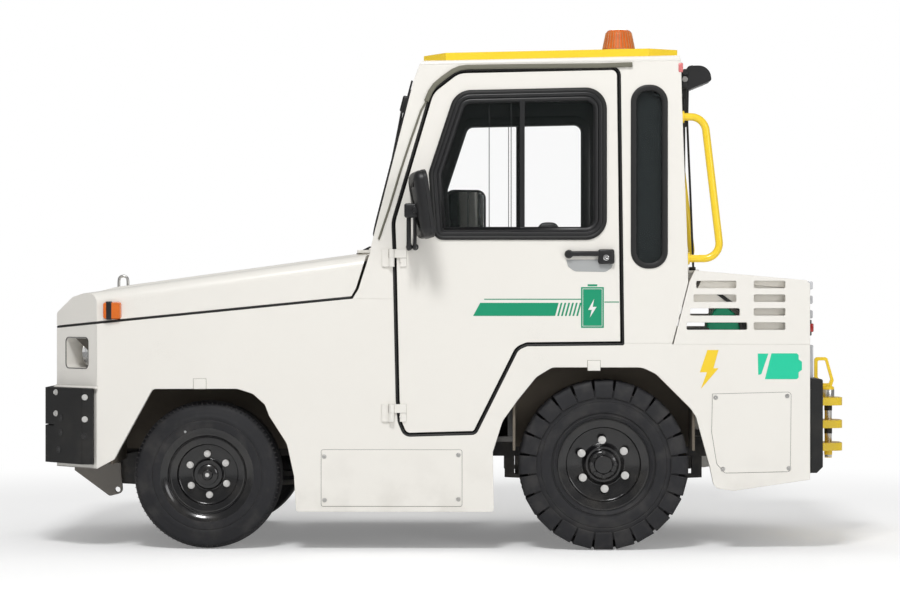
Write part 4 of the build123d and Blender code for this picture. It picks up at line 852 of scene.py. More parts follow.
# %% Drip rails
# The rails are real, and their grey-olive is painted shade: the gutter's shadow over the door and down
# the pillar
top_rail = corners_of((716, 1919), (584, 1915), (300, 1913), (64, 1910), (36, 1906), (8, 1894),
                      (-31, 1866), (-62, 1840), (-80, 1814), (-96, 1776))
pillar_rail = corners_of((-96, 1776), (-117, 1740), (-158, 1624), (-204, 1485), (-244, 1352),
                         (-285, 1230))
pillar_section = [(-4, -2), (-4, 5), (0, 7), (4, 5), (4, -2)]
top_section = [(-9, -2), (-9, 9), (-5, 12), (6, 12), (10, 6), (10, -2)]
for side, sign in SIDES:
    for name, line, section in (("pillar_rail", pillar_rail, pillar_section),
                                ("drip_rail", top_rail, top_section)):
        rail = strip(line, side_face(sign), section)
        finished(rail, f"{name}_{side}", gutter_grey, bevel=1.0)
print("seals and rails", len(door_edge))

# %% [markdown]
# Inner trim. Through the windows the far side of the cab reads as dark: black cards cover the inner
# faces of the doors and the rear pillars, and a dark lining hangs under the roof. They are thin
# sheets with the window cut out, a few millimetres off the panel that carries them.

# %% Door cards, pillar trim and roof lining
trim_depths = (-cab_wall - 6, -cab_wall - 0.5)
trim_rows = corners_of((704, 835), (704, 1902), (866, 1905), (864, 1742), (890, 1130), (890, 1062),
                       (840, 835))
for side, sign in SIDES:
    outside = side_face(sign)
    card = plate([grown(door_edge, -16), grown(rounded(door_window, 12), -6)], outside, *trim_depths)
    finished(card, f"door_card_{side}", black_plastic, f"door_{side}")
    trim = plate([trim_rows, grown(rounded(quarter_window, 10), 11)], outside, *trim_depths)
    finished(trim, f"pillar_trim_{side}", black_plastic)
finished(rounded_box((392, 0, 1885), (880, 1290, 14), 6), "roof_lining", black_plastic)
print("cab trimmed")

# %% Hood seal
# Side view and plan of the hood line: along, out and height
hood_line = [(-398, 716, 1000.4), (-900, 716, 950.7), (crease_x, 716, 901), (nose_x + 4, 528, 883)]
hood_path = [(x, -y, z) for x, y, z in hood_line] + [(x, y, z) for x, y, z in reversed(hood_line)]
bulb = pipe(hood_path, 4.7, round_steps=3, smooth=False)
flap = pipe([(x + 14, y * 0.975, z - 3) for x, y, z in hood_path], 9, round_steps=2, smooth=False)
finished([bulb, flap], "hood_seal", seal_rubber)

# %% Smoked quarter windows
for side, sign in SIDES:
    film = plate([grown(rounded(quarter_window, 10), -2)], side_face(sign), -34, -32)
    finished(film, f"quarter_film_{side}", smoked_film)

# %% [markdown]
# Tyres. The front tyre has smooth sides and a grooved tread. The rear one is a heavy block tyre
# whose lugs wrap over the shoulder. The carcass is a turned section, with its ring steps drawn as
# they are moulded, and the lugs are one shape set round it by the copying tree.

# %% Front tyres
front_half = [
    (-58, 150), (-70, 152), (-79, 168), (-86, 190), (-88, 208), (-87, 216), (-84.5, 218), (-86, 221),
    (-86, 236), (-84, 239), (-84, 247), (-82, 252), (-80, 262), (-77, 274), (-72, 283), (-66, 288),
    (-56, 291), (-50, 292), (-49, 285), (-43, 285), (-42, 293), (-24, 294.5), (-23, 286), (-16, 286),
    (-15, 295), (-4, 295), (-3, 287),
]


def both_ways(half):
    return half + [(-along, radius) for along, radius in reversed(half)]


def tyre_mesh(half, centre, inner):
    rows = both_ways(half)
    rows.append((rows[-1][0], inner))
    rows.append((rows[0][0], inner))
    rows.append(rows[0])
    return turned(rows, centre, (0, 1, 0), 96)


wheel_centre = {}
for side, sign in SIDES:
    wheel_centre[f"front_{side}"] = Vector((front_axle_x, sign * front_track / 2, front_radius))
    wheel_centre[f"rear_{side}"] = Vector((rear_axle_x, sign * rear_track / 2, rear_radius))


def wheel_points(centre, radius, out, count, start=0.0):
    """Points on a circle about a wheel's axle, and how far each is turned."""
    angles = [start + 2 * pi * i / count for i in range(count)]
    points = [centre + Vector((sin(angle) * radius, out, cos(angle) * radius)) for angle in angles]
    return points, angles


def copies_of(mesh, points, angles):
    """Rubber copies of a mesh at points about an axle, each turned by its angle."""
    shape = helper_object(mesh)
    turns = [(0, angle, 0) for angle in angles]
    result = grow(copier, points, "turn", turns, Shape=shape, Material=tyre_rubber)
    bpy.data.objects.remove(shape)
    return result


nib_count, nib_sink, nib_out = 90, 9.5, 74
for side, sign in SIDES:
    centre = wheel_centre[f"front_{side}"]
    carcass = tyre_mesh(front_half, centre, 148)
    nib = rounded_box((0, 0, 0), (3, 16, 9), 0.5, steps=1)
    nibs = copies_of(nib, *wheel_points(centre, front_radius - nib_sink, sign * nib_out, nib_count))
    finished([carcass, nibs], f"front_tread_{side}", tyre_rubber, f"front_wheel_{side}",
             replaces=[f"front_tyre_{side}"], smooth=40)

# %% Rear tyres
rear_half = [
    (-60, 182), (-74, 184), (-82, 196), (-82, 200), (-79.5, 202), (-80, 205), (-86, 208), (-90, 222),
    (-91, 240), (-90, 248), (-87.5, 250), (-89, 253), (-88, 266), (-86, 284), (-84, 296), (-74, 300),
    (-20, 302), (-1, 302),
]
lug_count = 24
lug_section = [(6, -38), (88, -38), (95, -72), (94, -46), (91, -16), (84, -4), (70, -0.5), (6, 0)]


def lug_mesh(sign):
    """One tread block: flat on top, rounded over the shoulder and drawn down the side wall."""
    half_length = pi * rear_radius / lug_count * 0.86
    narrowing, narrowing_depth = 0.12, 70
    rows = []
    for along in (-half_length, half_length):
        for across, up in lug_section:
            drop = (rear_radius + up) * cos(along / rear_radius) - rear_radius
            taper = 1 - narrowing * min(1.0, max(0.0, -up / narrowing_depth))
            rows.append(Vector((along * taper, sign * across, drop)) * MM)
    mesh = mesh_of("lug", rows, prism_faces(len(lug_section)))
    shape = bmesh.new()
    shape.from_mesh(mesh)
    bmesh.ops.recalc_face_normals(shape, faces=shape.faces)
    bmesh.ops.bevel(shape, geom=list(shape.edges), offset=2 * MM, segments=1, affect="EDGES")
    shape.to_mesh(mesh)
    shape.free()
    return mesh


for side, sign in SIDES:
    centre = wheel_centre[f"rear_{side}"]
    meshes = [tyre_mesh(rear_half, centre, 180)]
    for row, shift in ((-1, 0.0), (1, pi / lug_count)):
        places = wheel_points(centre, rear_radius, 0, lug_count, shift)
        meshes.append(copies_of(lug_mesh(row), *places))
    finished(meshes, f"rear_tread_{side}", tyre_rubber, f"rear_wheel_{side}",
             replaces=[f"rear_tyre_{side}"], smooth=30)
print("tyres done, rear lugs", 4 * lug_count)

# %% [markdown]
# Wheel centres. The rims are plain black pressings, so the bright wheel nuts and the bolted hub are
# what the eye finds first. Nuts stand on the disc, on a circle about the axle.

# %% Hubs and nuts
# Rows: axle, hub radius, hub reach, nut circle radius, face of the disc, nut size, small bolt circle
wheel_rows = [
    ("front", 42, 72, 82, 32, 21, 0),
    ("rear", 58, 66, 97, 46, 24, 46),
]
flange_rows = [(50, 148), (66, 149), (70, 153), (76, 158), (78, 166), (82, 170), (84, 181), (85, 186),
               (82, 189), (60, 170)]
for axle, hub_radius, hub_reach, nut_circle, disc_face, nut_size, small_circle in wheel_rows:
    for side, sign in SIDES:
        centre = wheel_centre[f"{axle}_{side}"]
        body = f"{axle}_wheel_{side}"
        out = Vector((0, sign, 0))
        hub_rows = [(disc_face - 14, 0), (disc_face - 14, hub_radius + 6),
                    (disc_face - 2, hub_radius + 4), (disc_face + 4, hub_radius),
                    (hub_reach - 12, hub_radius - 2), (hub_reach - 8, hub_radius - 8),
                    (hub_reach - 6, hub_radius - 20), (hub_reach, hub_radius - 24), (hub_reach, 0)]
        finished(turned(hub_rows, centre, out, 48), f"{axle}_hub_{side}", rim_paint, body)
        points, _ = wheel_points(centre, nut_circle, sign * (disc_face - 3), 6, radians(-3))
        set_bolts(f"{axle}_nuts_{side}", points, out, nut_size, body, head=17, washer=nut_size * 0.66,
                  stud=21, material=nut_steel)
        if axle == "front":
            set_bolts(f"front_hub_nut_{side}", [centre + out * (hub_reach - 2)], out, 16, body, head=8,
                      washer=11, material=nut_steel)
            nib_foot = centre + Vector((-86, sign * 84, 172))
            nib = turned([(0, 0), (0, 5), (6, 5), (8, 3), (8, 0)], nib_foot, out, 12)
            finished(nib, f"front_valve_mark_{side}", sheet_grey, body)
        if small_circle:
            points, _ = wheel_points(centre, small_circle, sign * (hub_reach - 9), 8)
            set_bolts(f"{axle}_hub_bolts_{side}", points, out, 12, body, head=7, material=rim_paint)
    if axle == "front":
        for side, sign in SIDES:
            flange = turned(flange_rows, wheel_centre[f"front_{side}"], (0, sign, 0), 72)
            finished(flange, f"front_flange_{side}", rim_paint, f"front_wheel_{side}")
print("hubs and nuts done")

# %% [markdown]
# Mirrors and door handles. The near mirror is seen almost edge-on: a domed black housing whose top
# leans to the front, a rim, the silvered glass inside it, and a clamp on two thin rods that stand on
# the door. The far one is swung right round to the driver. The door handle is a bar between a round
# foot and a square one with a key lock, over a shallow hand recess that is a thin grey sheet painted
# as the recess's shade.

# %% Mirrors
mirror_z = 1362
# Mirrors: side and its sign, along, out, turn, and how far the top leans to the front
mirror_rows = [("left", -1, -117, 845, 12, 8), ("right", 1, 38, 890, 75, 0)]
housing_rows = [(10, -20), (0, -18), (0, 2), (5, 12), (14, 19), (30, 23), (60, 24)]
for side, sign, along, out, turn, mirror_tip in mirror_rows:
    tipped = Matrix.Rotation(radians(-mirror_tip), 3, "Y")
    lean = tipped @ Matrix.Rotation(radians(-sign * turn), 3, "Z")
    across_axis, front = lean @ Vector((0, 1, 0)), lean @ Vector((-1, 0, 0))
    place = face((along, sign * out, mirror_z), across_axis, front.cross(across_axis))
    edge = rounded(window_rows(190, 266, 40), 8)
    outer = rounded(window_rows(186, 262, 40), 8)
    rim_section = [(0, -25), (0, -12), (4, -10), (12, -18), (12, -24), (8, -27), (3, -27)]
    housing = [stacked(outer, place, housing_rows), ring_frame(edge, place, rim_section)]
    grip = Vector((along, sign * out, 1344)) + front * 34
    housing.append(rounded_box(grip, (58, 46, 56), 8))
    clamp_rows = [(-32, 0), (-32, 11), (-20, 14), (20, 14), (28, 10), (32, 0)]
    housing.append(turned(clamp_rows, grip + Vector((14, 0, 2)), (0, 1, 0), 20))
    for foot_x, shift, radius in ((-164, -12, 9), (-140, 12, 7)):
        foot = Vector((foot_x, sign * half_width, 1200))
        elbow = grip + Vector((shift, 0, -148))
        housing.append(pipe([foot, foot.lerp(elbow, 0.8), elbow, elbow + Vector((0, 0, 30)),
                             grip + Vector((shift, 0, -10))], radius))
        housing.append(turned([(-1, 0), (-1, 13), (5, 13), (7, 9), (7, 0)], foot, (0, sign, 0), 20))
    finished(housing, f"mirror_{side}", black_plastic, f"door_{side}",
             replaces=[f"door_fittings_{side}"])
    glass = slab(grown(edge, -10), place, -25.5, -23)
    finished(glass, f"mirror_glass_{side}", mirror_silver, f"door_{side}")
print("mirrors done")

# %% Door handles
for side, sign in SIDES:
    outside = side_face(sign)
    out = Vector((0, sign, 0))
    # The hand recess is a thin grey sheet on the door, painted as the recess's shade
    recess = rounded([(456, 1150, 0), (642, 1150, 0), (636, 1118, 20), (612, 1102, 30), (488, 1104, 30),
                      (462, 1124, 20)], 6)
    finished(slab(recess, outside, -1, 1.2), f"handle_recess_{side}", sheet_grey, f"door_{side}")
    level = sign * (half_width + 13)
    foot_rows = [(0, 0), (0, 17), (14, 17), (20, 13), (22, 0)]
    bar = [turned(foot_rows, (466, sign * half_width, 1172), out, 28),
           rounded_box((536, level, 1174), (140, 16, 20), 6),
           rounded_box((613, sign * (half_width + 11), 1162), (64, 24, 58), 8)]
    finished(bar, f"door_handle_{side}", black_plastic, f"door_{side}")
    lock = turned([(18, 0), (18, 12), (25, 12), (26.5, 10), (26.5, 4), (25.5, 4), (25.5, 0)],
                  (612, sign * half_width, 1158), out, 28)
    finished(lock, f"door_lock_{side}", chrome, f"door_{side}")
    for body, x in (("chassis", -250), (f"door_{side}", -196)):
        screws = [Vector((x, sign * (half_width + 4), z)) for z in (1178, 1140, 572, 530)]
        set_bolts(f"hinge_screws_{body}_{side}", screws, out, 8, body, head=2.5, washer=7, stud=2.6,
                  material=cream_paint)
print("handles done")

# %% [markdown]
# Nose. The chamfered corners carry a lamp each, deep in a cream box whose inner walls catch the
# light, and a dark brown triangle over the upper corner of each box is a painted shadow. Below it a
# folded lip closes the gap over the bumper, and the bumper's bars are held by bright bolts in pairs,
# with sunk holes below them.

# %% Headlamps, lip and indicators
lamp_centre_x, lamp_centre_y, lamp_centre_z, lamp_depth = -1495, 627, 780, 106
bowl_rows = [(-103, 0), (-103, 30), (-88, 44), (-70, 52), (-64, 54), (-62, 50), (-74, 42), (-90, 26),
             (-94, 12), (-84, 8), (-80, 0)]
lens_rows = [(-70, 0), (-70, 50), (-66, 50), (-60, 36), (-56, 0)]
for side, sign in SIDES:
    middle = Vector((lamp_centre_x, sign * lamp_centre_y, lamp_centre_z))
    place = face(middle, (-sign, -1, 0), (0, 0, 1))
    normal = Vector((-1, sign, 0)).normalized()
    edge = rounded(window_rows(153, 125, 20), 8)
    tunnel = [ring_frame(edge, place, [(0, -2), (0, -lamp_depth), (4, -lamp_depth), (4, -2)]),
              slab(grown(edge, -2), place, -lamp_depth - 2, -lamp_depth + 2)]
    finished(tunnel, f"lamp_box_{side}", cream_paint,
             replaces=["headlamps"] if side == "left" else ())
    finished(turned(bowl_rows, middle, normal, 48), f"lamp_bowl_{side}", chrome)
    finished(turned(lens_rows, middle, normal, 48), f"lamp_lens_{side}", lamp_glass)
    # A dark brown triangle over the box's upper corner is a painted shadow, not a part
    shade = slab(corners_of((-60, 61), (75, 61), (75, -16)), place, -36, -33)
    finished(shade, f"lamp_shade_{side}", bay_brown)
    seam = ring_frame(edge, place, [(-0.5, -3), (-0.5, 0.8), (2, 0.8), (2, -3)])
    finished(seam, f"lamp_edge_{side}", seal_rubber)
    band = rounded_box((-1351, sign * (half_width + 9), 949), (24, 24, 73), 4)
    finished(band, f"indicator_band_{side}", black_plastic, "hood")
plan = face((0, 0, 0), (1, 0, 0), (0, 1, 0))
nose_half = [(crease_x + 6, half_width + 2), (crease_x - 1, half_width + 2), (nose_x - 2, 531)]
nose_edge = corners_of(*((x, -y) for x, y in nose_half), *reversed(nose_half))
lip = strip(nose_edge, plan, [(-3, 640.3), (-10, 640.3), (-10, 643), (-3, 650)])
finished(lip, "bumper_lip", cream_paint, bevel=0.8)

# %% Bumper bolts and holes
# Bumper bolts and sunk holes on the left: along, out, height, and the way they face
slant = Vector((-1, -1, 0)).normalized()
flat = Vector((0, -1, 0))
bolt_rows = [(-1583, -602.6, 622, slant), (-1448, -726, 606, flat), (-1583, -602.6, 537, slant),
             (-1448, -726, 519, flat)]
hole_rows = [(-1560, -625.6, 462, slant), (-1452, -726, 452, flat), (-1570, -615.6, 393, slant),
             (-1560, -625.6, 520, slant)]


def on_both_sides(rows):
    """Places and directions of rows written for the left, on the left and the right."""
    return [(Vector((x, -sign * y, z)), Vector((way.x, -sign * way.y, 0)))
            for side, sign in SIDES for x, y, z, way in rows]


fixings = [(Vector((-1637, y, z)), Vector((-1, 0, 0)))
           for y in (-430, -150, 150, 430) for z in (606, 537, 440, 372)] + on_both_sides(bolt_rows)
points, ways = [place for place, way in fixings], [way for place, way in fixings]
set_bolts("bumper_bolts", points, ways, 15, head=8, washer=12, stud=9, material=nut_steel)
holes, pits = [], []
for centre, way in on_both_sides(hole_rows):
    holes.append(turned([(-1, 14), (1.2, 14), (1.2, 10), (-1, 9)], centre, way, 24))
    pits.append(turned([(-1, 0), (-1, 10), (0.5, 10), (0.5, 0)], centre, way, 24))
finished(holes, "bumper_hole_rims", black_plastic)
finished(pits, "bumper_holes", rim_paint)
bracket = rounded([(-1445, 262, 30), (-1440, 318, 30), (-1380, 352, 30), (-1340, 362, 20),
                   (-1292, 372, 0), (-1292, 245, 0), (-1400, 240, 30)], 4)
bracket_out = 316
brackets = [slab(bracket, side_face(sign, bracket_out), -12, 12) for side, sign in SIDES]
finished(brackets, "bumper_brackets", chassis_paint, bevel=2.0)
clips, clip_lines = [], []
for side, sign in SIDES:
    for x, z in ((-993, 659), (565, 732)):
        clips.append(rounded_box((x, sign * (half_width + 1), z), (50, 6, 40), 2))
        clip_lines.append(ring_frame(rectangle(x - 26, z - 21, x + 26, z + 21), side_face(sign),
                                     [(0, -1), (0, 1.2), (1.6, 1.2), (1.6, -1)]))
finished(clips, "liner_clips", cream_paint)
# The grey line round each clip is painted shade at its foot
finished(clip_lines, "liner_clip_edges", gutter_grey)
print("nose done", len(points))

# %% [markdown]
# Hood fittings. A lifting eye of bright bar stands on the middle of the hood near its front, and a
# rubber wedge closes the hood against the windscreen's foot.

# %% Lifting eye, wedge and wiper
eye = side_pipe(0, [(-1419, 1036), (-1420, 1070), (-1416, 1088), (-1400, 1094), (-1384, 1088),
                    (-1380, 1070), (-1381, 1040)], 6)
finished(eye, "lifting_eye", bolt_steel, "hood")
wedge_rows = corners_of((-393, 1176), (-391, 1184), (-336, 1212), (-333, 1190))
wedge = slab(wedge_rows, face((0, 0, 0), (1, 0, 0), (0, 0, 1)), -360, 360)
finished(wedge, "hood_wedge", seal_rubber, "hood", bevel=2.0)


def screen_at(across, up, out):
    """Point on the windscreen, in millimetres from its middle and out of the glass."""
    return screen_place(across, up, out) / MM


wiper = [rounded_box(screen_at(560, 240, 17), (30, 60, 66), 7, 14.4),
         pipe([screen_at(560, 268, 14), screen_at(556, 340, 14)], 4),
         pipe([screen_at(556, 240, 26), screen_at(500, 160, 21), screen_at(420, 30, 19)], 5),
         pipe([screen_at(440, 190, 14), screen_at(400, -170, 14)], 5, smooth=False)]
finished(wiper, "wiper", black_plastic)
print("hood fittings done")

# %% [markdown]
# Seats. A pad is not a block: each one starts a little smaller than its place, is blown up as cloth
# so that its faces crown and its sides pull in between the corners, and then its sewn channels are
# pressed in. The cloth's movement is held to a few millimetres, so a pad never leaves its place.

# %% Seat pads
seat_y, seat_half = 300, 220
base_rows = [(10, 801, 20), (2, 901, 30), (317, 887, 10), (323, 801, 0)]
back_rows = [(325, 801, 12), (343, 1317, 35), (443, 1317, 35), (402, 801, 0)]
channel_width, channel_depth, facing_share, cloth_frames = 7, 6, 0.35, 20


def swollen(rows, slack, cap, channels, facing):
    """One pad about the middle plane: a shrunken block, inflated as cloth, then sewn across."""
    outline = grown(rounded(rows, 5), -slack)
    block = helper_object(slab(outline, side_face(-1, 0), slack - seat_half, seat_half - slack))
    even = block.modifiers.new("even", "REMESH")
    even.mode = "VOXEL"
    even.voxel_size = 6 * MM
    eased = block.modifiers.new("eased", "SMOOTH")
    eased.iterations = 12
    mesh = evaluated(block)
    rest = [vertex.co.copy() for vertex in mesh.vertices]
    pad = helper_object(mesh)
    cloth = pad.modifiers.new("swell", "CLOTH")
    cloth.settings.use_pressure = True
    cloth.settings.uniform_pressure_force = 4
    cloth.settings.effector_weights.gravity = 0
    for frame_number in range(1, cloth_frames + 1):
        bpy.context.scene.frame_set(frame_number)
    mesh = evaluated(pad)
    bpy.context.scene.frame_set(1)
    for vertex, place in zip(mesh.vertices, rest):
        move = vertex.co - place
        if move.length > cap * MM:
            vertex.co = place + move.normalized() * cap * MM
    for vertex in mesh.vertices:
        level = Vector((-facing.z, 0, facing.x)).dot(vertex.co) / MM
        if vertex.normal.dot(facing) > facing_share:
            pressed = sum(exp(-((level - channel) / channel_width) ** 2) for channel in channels)
            vertex.co -= facing * min(1, pressed) * channel_depth * MM
    return mesh


base_up, back_out = Vector((0, 0, 1)), Vector((-1, 0, 0.05)).normalized()
pads = [swollen(base_rows, 6, 7, (-90, -165, -240), base_up),
        swollen(back_rows, 6, 7, (-960, -1080, -1200), back_out)]
seat_meshes = []
for side, sign in SIDES:
    for mesh in pads:
        copy = mesh.copy()
        copy.transform(Matrix.Translation(Vector((0, sign * seat_y, 0)) * MM))
        seat_meshes.append(copy)
seat = finished(seat_meshes, "seat_cushions", seat_vinyl, replaces=["seat_pads"], smooth=60)
print("seats", len(seat.data.polygons))

# %% Dashboard and controls
dials = [rounded_box((-196, -300, 1196), (46, 250, 40), 10, -14)]
dial_rows = [(0, 0), (0, 30), (6, 30), (8, 26), (3, 24), (3, 0)]
for y in (-370, -300, -230):
    dials.append(turned(dial_rows, (-172, y, 1200), (1, 0, 0.25), 28))
for i in range(5):
    dials.append(rounded_box((-128, -120 + 36 * i, 1130), (10, 24, 36), 3))
finished(dials, "dash_instruments", black_plastic)
print("cab fitted")

# %% [markdown]
# Covers and colours. Bolted plates close the skirt and the tail: thin sheets that stand a little
# proud, with a bolt near each corner. The coloured accents are stickers, so they are hardly thicker
# than the paint and keep their plain shapes without any writing.

# %% Cover plates
covers = [
    ("skirt_cover", [(-512, 176, 8), (44, 176, 8), (44, 399, 8), (-512, 399, 8)],
     [(-500, 372), (30, 379), (-499, 200), (30, 204)]),
    ("tail_cover", [(1081, 309, 12), (1338, 315, 12), (1341, 628, 14), (1032, 620, 0), (1029, 470, 8),
                    (1049, 345, 10)],
     [(1044, 606), (1326, 613), (1073, 325), (1332, 328)]),
]
for name, rows, screws in covers:
    for side, sign in SIDES:
        outside = side_face(sign)
        edge = rounded(rows)
        finished(slab(edge, outside, -1, 2.2), f"{name}_{side}", cream_paint, bevel=0.7)
        joint = ring_frame(edge, outside, [(-1.2, -1), (-1.2, 0.4), (0.5, 0.4), (0.5, -1)])
        finished(joint, f"{name}_joint_{side}", seal_rubber)
        at = [Vector((x, sign * (half_width + 2), z)) for x, z in screws]
        set_bolts(f"{name}_bolts_{side}", at, Vector((0, sign, 0)), 11, head=3.2, washer=9,
                  stud=3.4)
print("covers done")

# %% Coloured accents
# Accents: name, body, finish, and outlines of x and z
accents = [
    ("door_band", "door", decal_green, [[(88, 928), (116, 980), (426, 980), (412, 928)]]
     + [[(x, 928), (x + 14, 980), (x + 21, 980), (x + 7, 928)] for x in range(420, 510, 15)]
     + [rectangle(132, 992, 514, 996), rectangle(606, 981, 664, 985)]),
    ("door_block", "door", decal_green,
     [rectangle(514, 881, 604, 1042), rectangle(540, 1045, 578, 1053)]),
    ("door_block_line", "door", decal_white,
     [rectangle(520, 887, 598, 889), rectangle(520, 1034, 598, 1036),
      rectangle(520, 889, 522, 1034), rectangle(596, 889, 598, 1034)]),
    ("door_flash", "door", decal_white,
     [[(566, 996), (542, 952), (556, 952), (549, 922), (576, 964), (560, 964)]]),
    ("tail_flash", "body", decal_yellow,
     [[(1012, 794), (1056, 794), (1036, 722), (1056, 722), (986, 640), (1010, 706), (982, 706)]]),
    ("tail_block", "body", decal_mint,
     [[(1210, 780), (1252, 780), (1224, 698), (1212, 696)],
      [(1264, 781), (1364, 781), (1371, 774), (1371, 757), (1384, 748), (1384, 716), (1371, 706),
       (1371, 686), (1364, 679), (1238, 679)]]),
]
for name, carrier, material, outlines in accents:
    for side, sign in SIDES:
        level = 0.8 if material is decal_white else 0.4
        sheets = [slab(corners_of(*rows), side_face(sign), -0.5, level) for rows in outlines]
        body = f"door_{side}" if carrier == "door" else "chassis"
        finished(sheets, f"{name}_{side}", material, body)
print("accents done")

# %% [markdown]
# Roof and tail. The beacon is a faceted amber dome with ribs and a pale skirt; the ribs' pale colour
# is painted light, for the light streaks of the reflector inside. The work lamp looks down to the
# hitch from the cab's back, and the tail has lamps one above the other, grey ones over a red one.

# %% Beacon and work lamp
beacon_foot = Vector((699, 0, 1983))
dome_rows = [(0, 0), (0, 71), (62, 71), (66, 68), (138, 54), (146, 47), (151, 32), (151, 0)]
dome = turned(dome_rows, beacon_foot, (0, 0, 1), 14)
finished(dome, "beacon_dome", amber_lens, replaces=["beacon"], smooth=12)
# The ribs are real, and their pale colour is painted light: the streaks of the reflector inside
ribs, rib_count = [], 28
for i in range(rib_count):
    angle = 2 * pi * i / rib_count
    way = Vector((cos(angle), sin(angle), 0))
    ends = [beacon_foot + way * radius + Vector((0, 0, up)) for radius, up in ((68, 68), (54, 136))]
    ribs.append(pipe(ends, 1.8, round_steps=2, smooth=False))
finished(ribs, "beacon_ribs", amber_pale)
skirt = turned([(40, 66), (40, 72), (64, 72), (67, 66)], beacon_foot, (0, 0, 1), 48)
finished(skirt, "beacon_skirt", amber_pale)
# Distances from the middle, in millimetres
work_lamp_y, conduit_y, line_y, tail_lamp_y = 430, 600, 694, 610
lamp_outline = rounded([(947, 1836, 8), (1048, 1877, 8), (1042, 1938, 50), (950, 1936, 14)], 8)
lamp_body = slab(lamp_outline, side_face(-1, work_lamp_y), -63, 63)
bracket_rows = corners_of((912, 1662), (958, 1700), (962, 1910), (930, 1915), (912, 1870),
                          (906, 1800))
bracket = slab(bracket_rows, side_face(-1, work_lamp_y), -16, 16)
knob = turned([(0, 0), (0, 14), (10, 14), (14, 9), (14, 0)], (940, -494, 1908), (0, -1, 0), 20)
housings = [lamp_body, bracket, knob]
for i in range(5):
    housings.append(rounded_box((970 + 12 * i, -work_lamp_y, 1926 - 2 * i), (4, 118, 26), 1.5))
conduit = [side_pipe(-conduit_y, [(936, 1850), (944, 1640), (956, 1380), (966, 1112)], 4.5),
           rounded_box((928, -conduit_y, 1846), (30, 18, 26), 3),
           rounded_box((962, -conduit_y, 1116), (26, 20, 14), 3)]
finished(housings, "work_lamp", black_plastic, bevel=1.5, replaces=["rear_lamps"])
finished(conduit, "lamp_conduit", seal_rubber)
lens_edge = rounded(window_rows(104, 70, 12), 6)
lens_place = face((990, -work_lamp_y, 1854), (0, -1, 0), (0.93, 0, 0.37))
finished(slab(lens_edge, lens_place, -3, 3), "work_lamp_lens", lamp_glass)
set_bolts("work_lamp_bolts", [Vector((940, -509, 1880))], Vector((0, -1, 0)), 15, head=7)

# %% Marker and tail lamps
marker_lamps, tail_red, tail_grey, tail_seats = [], [], [], []
for side, sign in SIDES:
    marker_lamps.append(rounded_box((907, sign * 710, 1908), (19, 26, 38), 5))
    for z in (934, 992, 1049):
        tail_grey.append(rounded_box((1426, sign * tail_lamp_y, z), (20, 80, 32), 5))
    tail_red.append(rounded_box((1427, sign * tail_lamp_y, 881), (24, 88, 34), 5))
    tail_seats.append(rounded_box((1421, sign * tail_lamp_y, 881), (20, 84, 62), 3))
finished(marker_lamps, "marker_lamps", pink_lens)
finished(tail_red, "tail_lamps_red", red_lens)
finished(tail_grey, "tail_lamps_grey", grey_lens)
finished(tail_seats, "tail_lamp_seats", black_plastic)
strips = [rounded_box((1424, sign * 515, 747), (20, 330, 132), 4) for side, sign in SIDES]
finished(strips, "tail_strips", grey_lens)

# %% Rear body inside
tank = rounded([(1010, 850, 0), (1150, 850, 0), (1136, 925, 20), (1088, 968, 26), (1052, 966, 30),
                (1014, 905, 20)], 4)
finished(slab(tank, side_face(-1), -150, -34), "fluid_tank", decal_green, bevel=6.0)
tank_lines = [
    side_pipe(-line_y, [(1055, 1018), (1092, 991), (1137, 957), (1159, 933), (1162, 860)], 7),
    side_pipe(-line_y, [(1130, 925), (1150, 900), (1156, 850)], 8),
    slab(rectangle(925, 862, 1020, 881), side_face(-1), -30, -12),
]
finished(tank_lines, "tank_lines", seal_rubber)
tray_rows = [
    (corners_of((1180, 868), (1392, 868), (1392, 1062), (1180, 1058)), -40, -36),
    (corners_of((948, 980), (1166, 980), (1166, 1062), (990, 1068)), -32, -28),
]
trays = [slab(edge, side_face(sign), *depths) for edge, *depths in tray_rows for side, sign in SIDES]
finished(trays, "rear_inner_sheets", cream_paint)

# %% Hitch pin


def on_pin(rows, steps):
    """Rows of height and radius, turned about the hitch pin."""
    return turned(rows, (1583, 0, 0), (0, 0, 1), steps)


shank = [on_pin([(326, 0), (326, 13), (330, 15.3), (582, 15.3), (582, 0)], 32),
         on_pin([(583, 0), (583, 25.6), (612, 25.6), (624, 20), (629, 10), (629, 0)], 40)]
finished(shank, "hitch_pin_steel", bolt_steel, "hitch_pin")
collars = [on_pin([(z, 0), (z, 16.6), (z + 22, 16.6), (z + 22, 0)], 28) for z in (428, 525)]
finished(collars, "hitch_pin_collars", black_plastic, "hitch_pin")
foot = on_pin([(338, 0), (338, 17), (364, 17), (368, 14), (368, 0)], 28)
finished(foot, "hitch_pin_foot", yellow_paint, "hitch_pin")
backwards = Vector((1, 0, 0))
plate_bolts = [Vector((tail_x + 24, y, z)) for y in (-105, 105) for z in (345, 420, 520, 595)]
set_bolts("hitch_plate_bolts", plate_bolts, backwards, 19, head=12)
block_bolts = [Vector((tail_x + 53, sign * y, z))
               for sign in (-1, 1) for y in (400, 630) for z in (380, 600)]
set_bolts("rear_block_bolts", block_bolts, backwards, 17, head=8)
print("tail done")

# %% [markdown]
# Floor and light. A plain pale floor carries the shadow, and soft lamps from the front left give
# the sides about the brightness that their colours are written with.

# %% Floor, backdrop and lamps


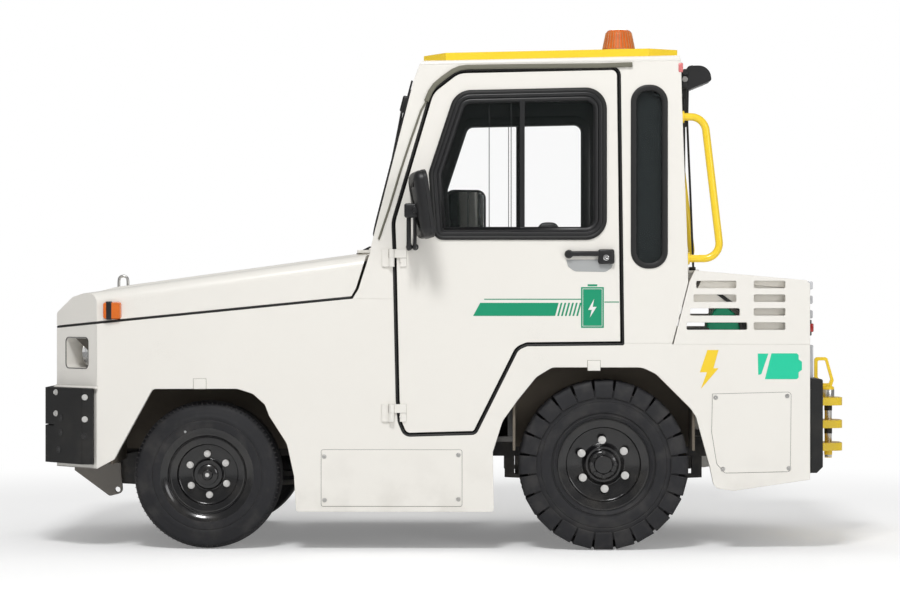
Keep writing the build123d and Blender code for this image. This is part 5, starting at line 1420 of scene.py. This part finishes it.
def floor_finish():
    """Pale floor: lit and shaded near the tug, and plain white to the camera further away."""
    finish = Finish("studio_floor")
    tone = finish.mix(finish.noise(3, 4), colour(0.93, 0.93, 0.93), colour(0.96, 0.96, 0.96))
    seen = finish.make("ShaderNodeLightPath", None, None, "Is Camera Ray")
    distance = finish.make("ShaderNodeVectorMath", {"operation": "LENGTH"}, {0: finish.place},
                           "Value")
    glow = finish.make("ShaderNodeEmission", None, {"Color": colour(1, 1, 1), "Strength": 0.20})
    white = finish.make("ShaderNodeEmission", None, {"Color": colour(1, 1, 1), "Strength": 1.0})
    plain = Wire(finish, finish.shader.outputs[0])
    near = finish.make("ShaderNodeAddShader", None, {0: plain, 1: glow})
    far = distance.ramp(2.4, 5.0)
    near_or_far = finish.make("ShaderNodeMixShader", None, {0: far, 1: near, 2: white})
    chosen = finish.make("ShaderNodeMixShader", None, {0: seen, 1: plain, 2: near_or_far})
    finish.tree.links.new(chosen.socket, finish.tree.nodes["Material Output"].inputs["Surface"])
    finish.set(Base_Color=tone, Roughness=0.9, Specular_IOR_Level=0.1)
    return finish.material


floor_size = 60
floor_corners = [(-floor_size, -floor_size, 0), (floor_size, -floor_size, 0),
                 (floor_size, floor_size, 0), (-floor_size, floor_size, 0)]
floor_mesh = mesh_of("floor", floor_corners, [[0, 1, 2, 3]])
floor_mesh.materials.append(floor_finish())
floor = bpy.data.objects.new("studio_floor", floor_mesh)
bpy.context.scene.collection.objects.link(floor)

world = bpy.data.worlds.new("studio")
bpy.context.scene.world = world
world.use_nodes = True
sky = Maker(world.node_tree)
kinds = [sky.make("ShaderNodeLightPath", None, None, name)
         for name in ("Is Camera Ray", "Is Glossy Ray", "Is Transmission Ray")]
direct = (kinds[0] + kinds[2]).limited()
sky_strength, direct_gain, gloss_loss = 0.40, 0.60, 0.10
strength = sky_strength + direct * direct_gain - kinds[1] * gloss_loss
background = world.node_tree.nodes["Background"]
background.inputs["Color"].default_value = (1, 1, 1, 1)
world.node_tree.links.new(strength.socket, background.inputs["Strength"])

# Lamps: name, place in metres, size, power in watts
lamp_rows = [
    ("key", (-0.8, -6.1, 7.2), 1.6, 360),
    ("fill", (5.5, -6.5, 3.0), 3.0, 110),
    ("back", (1.0, 7.0, 6.0), 3.5, 110),
]
for name, place, size, power in lamp_rows:
    lamp_data = bpy.data.lights.new(name, "AREA")
    lamp_data.size = size
    lamp_data.energy = power
    lamp = bpy.data.objects.new(name, lamp_data)
    lamp.location = place
    lamp.rotation_euler = (Vector((0, 0, 0.8)) - Vector(place)).to_track_quat("-Z", "Y").to_euler()
    bpy.context.scene.collection.objects.link(lamp)
print("lamps", len(lamp_rows))
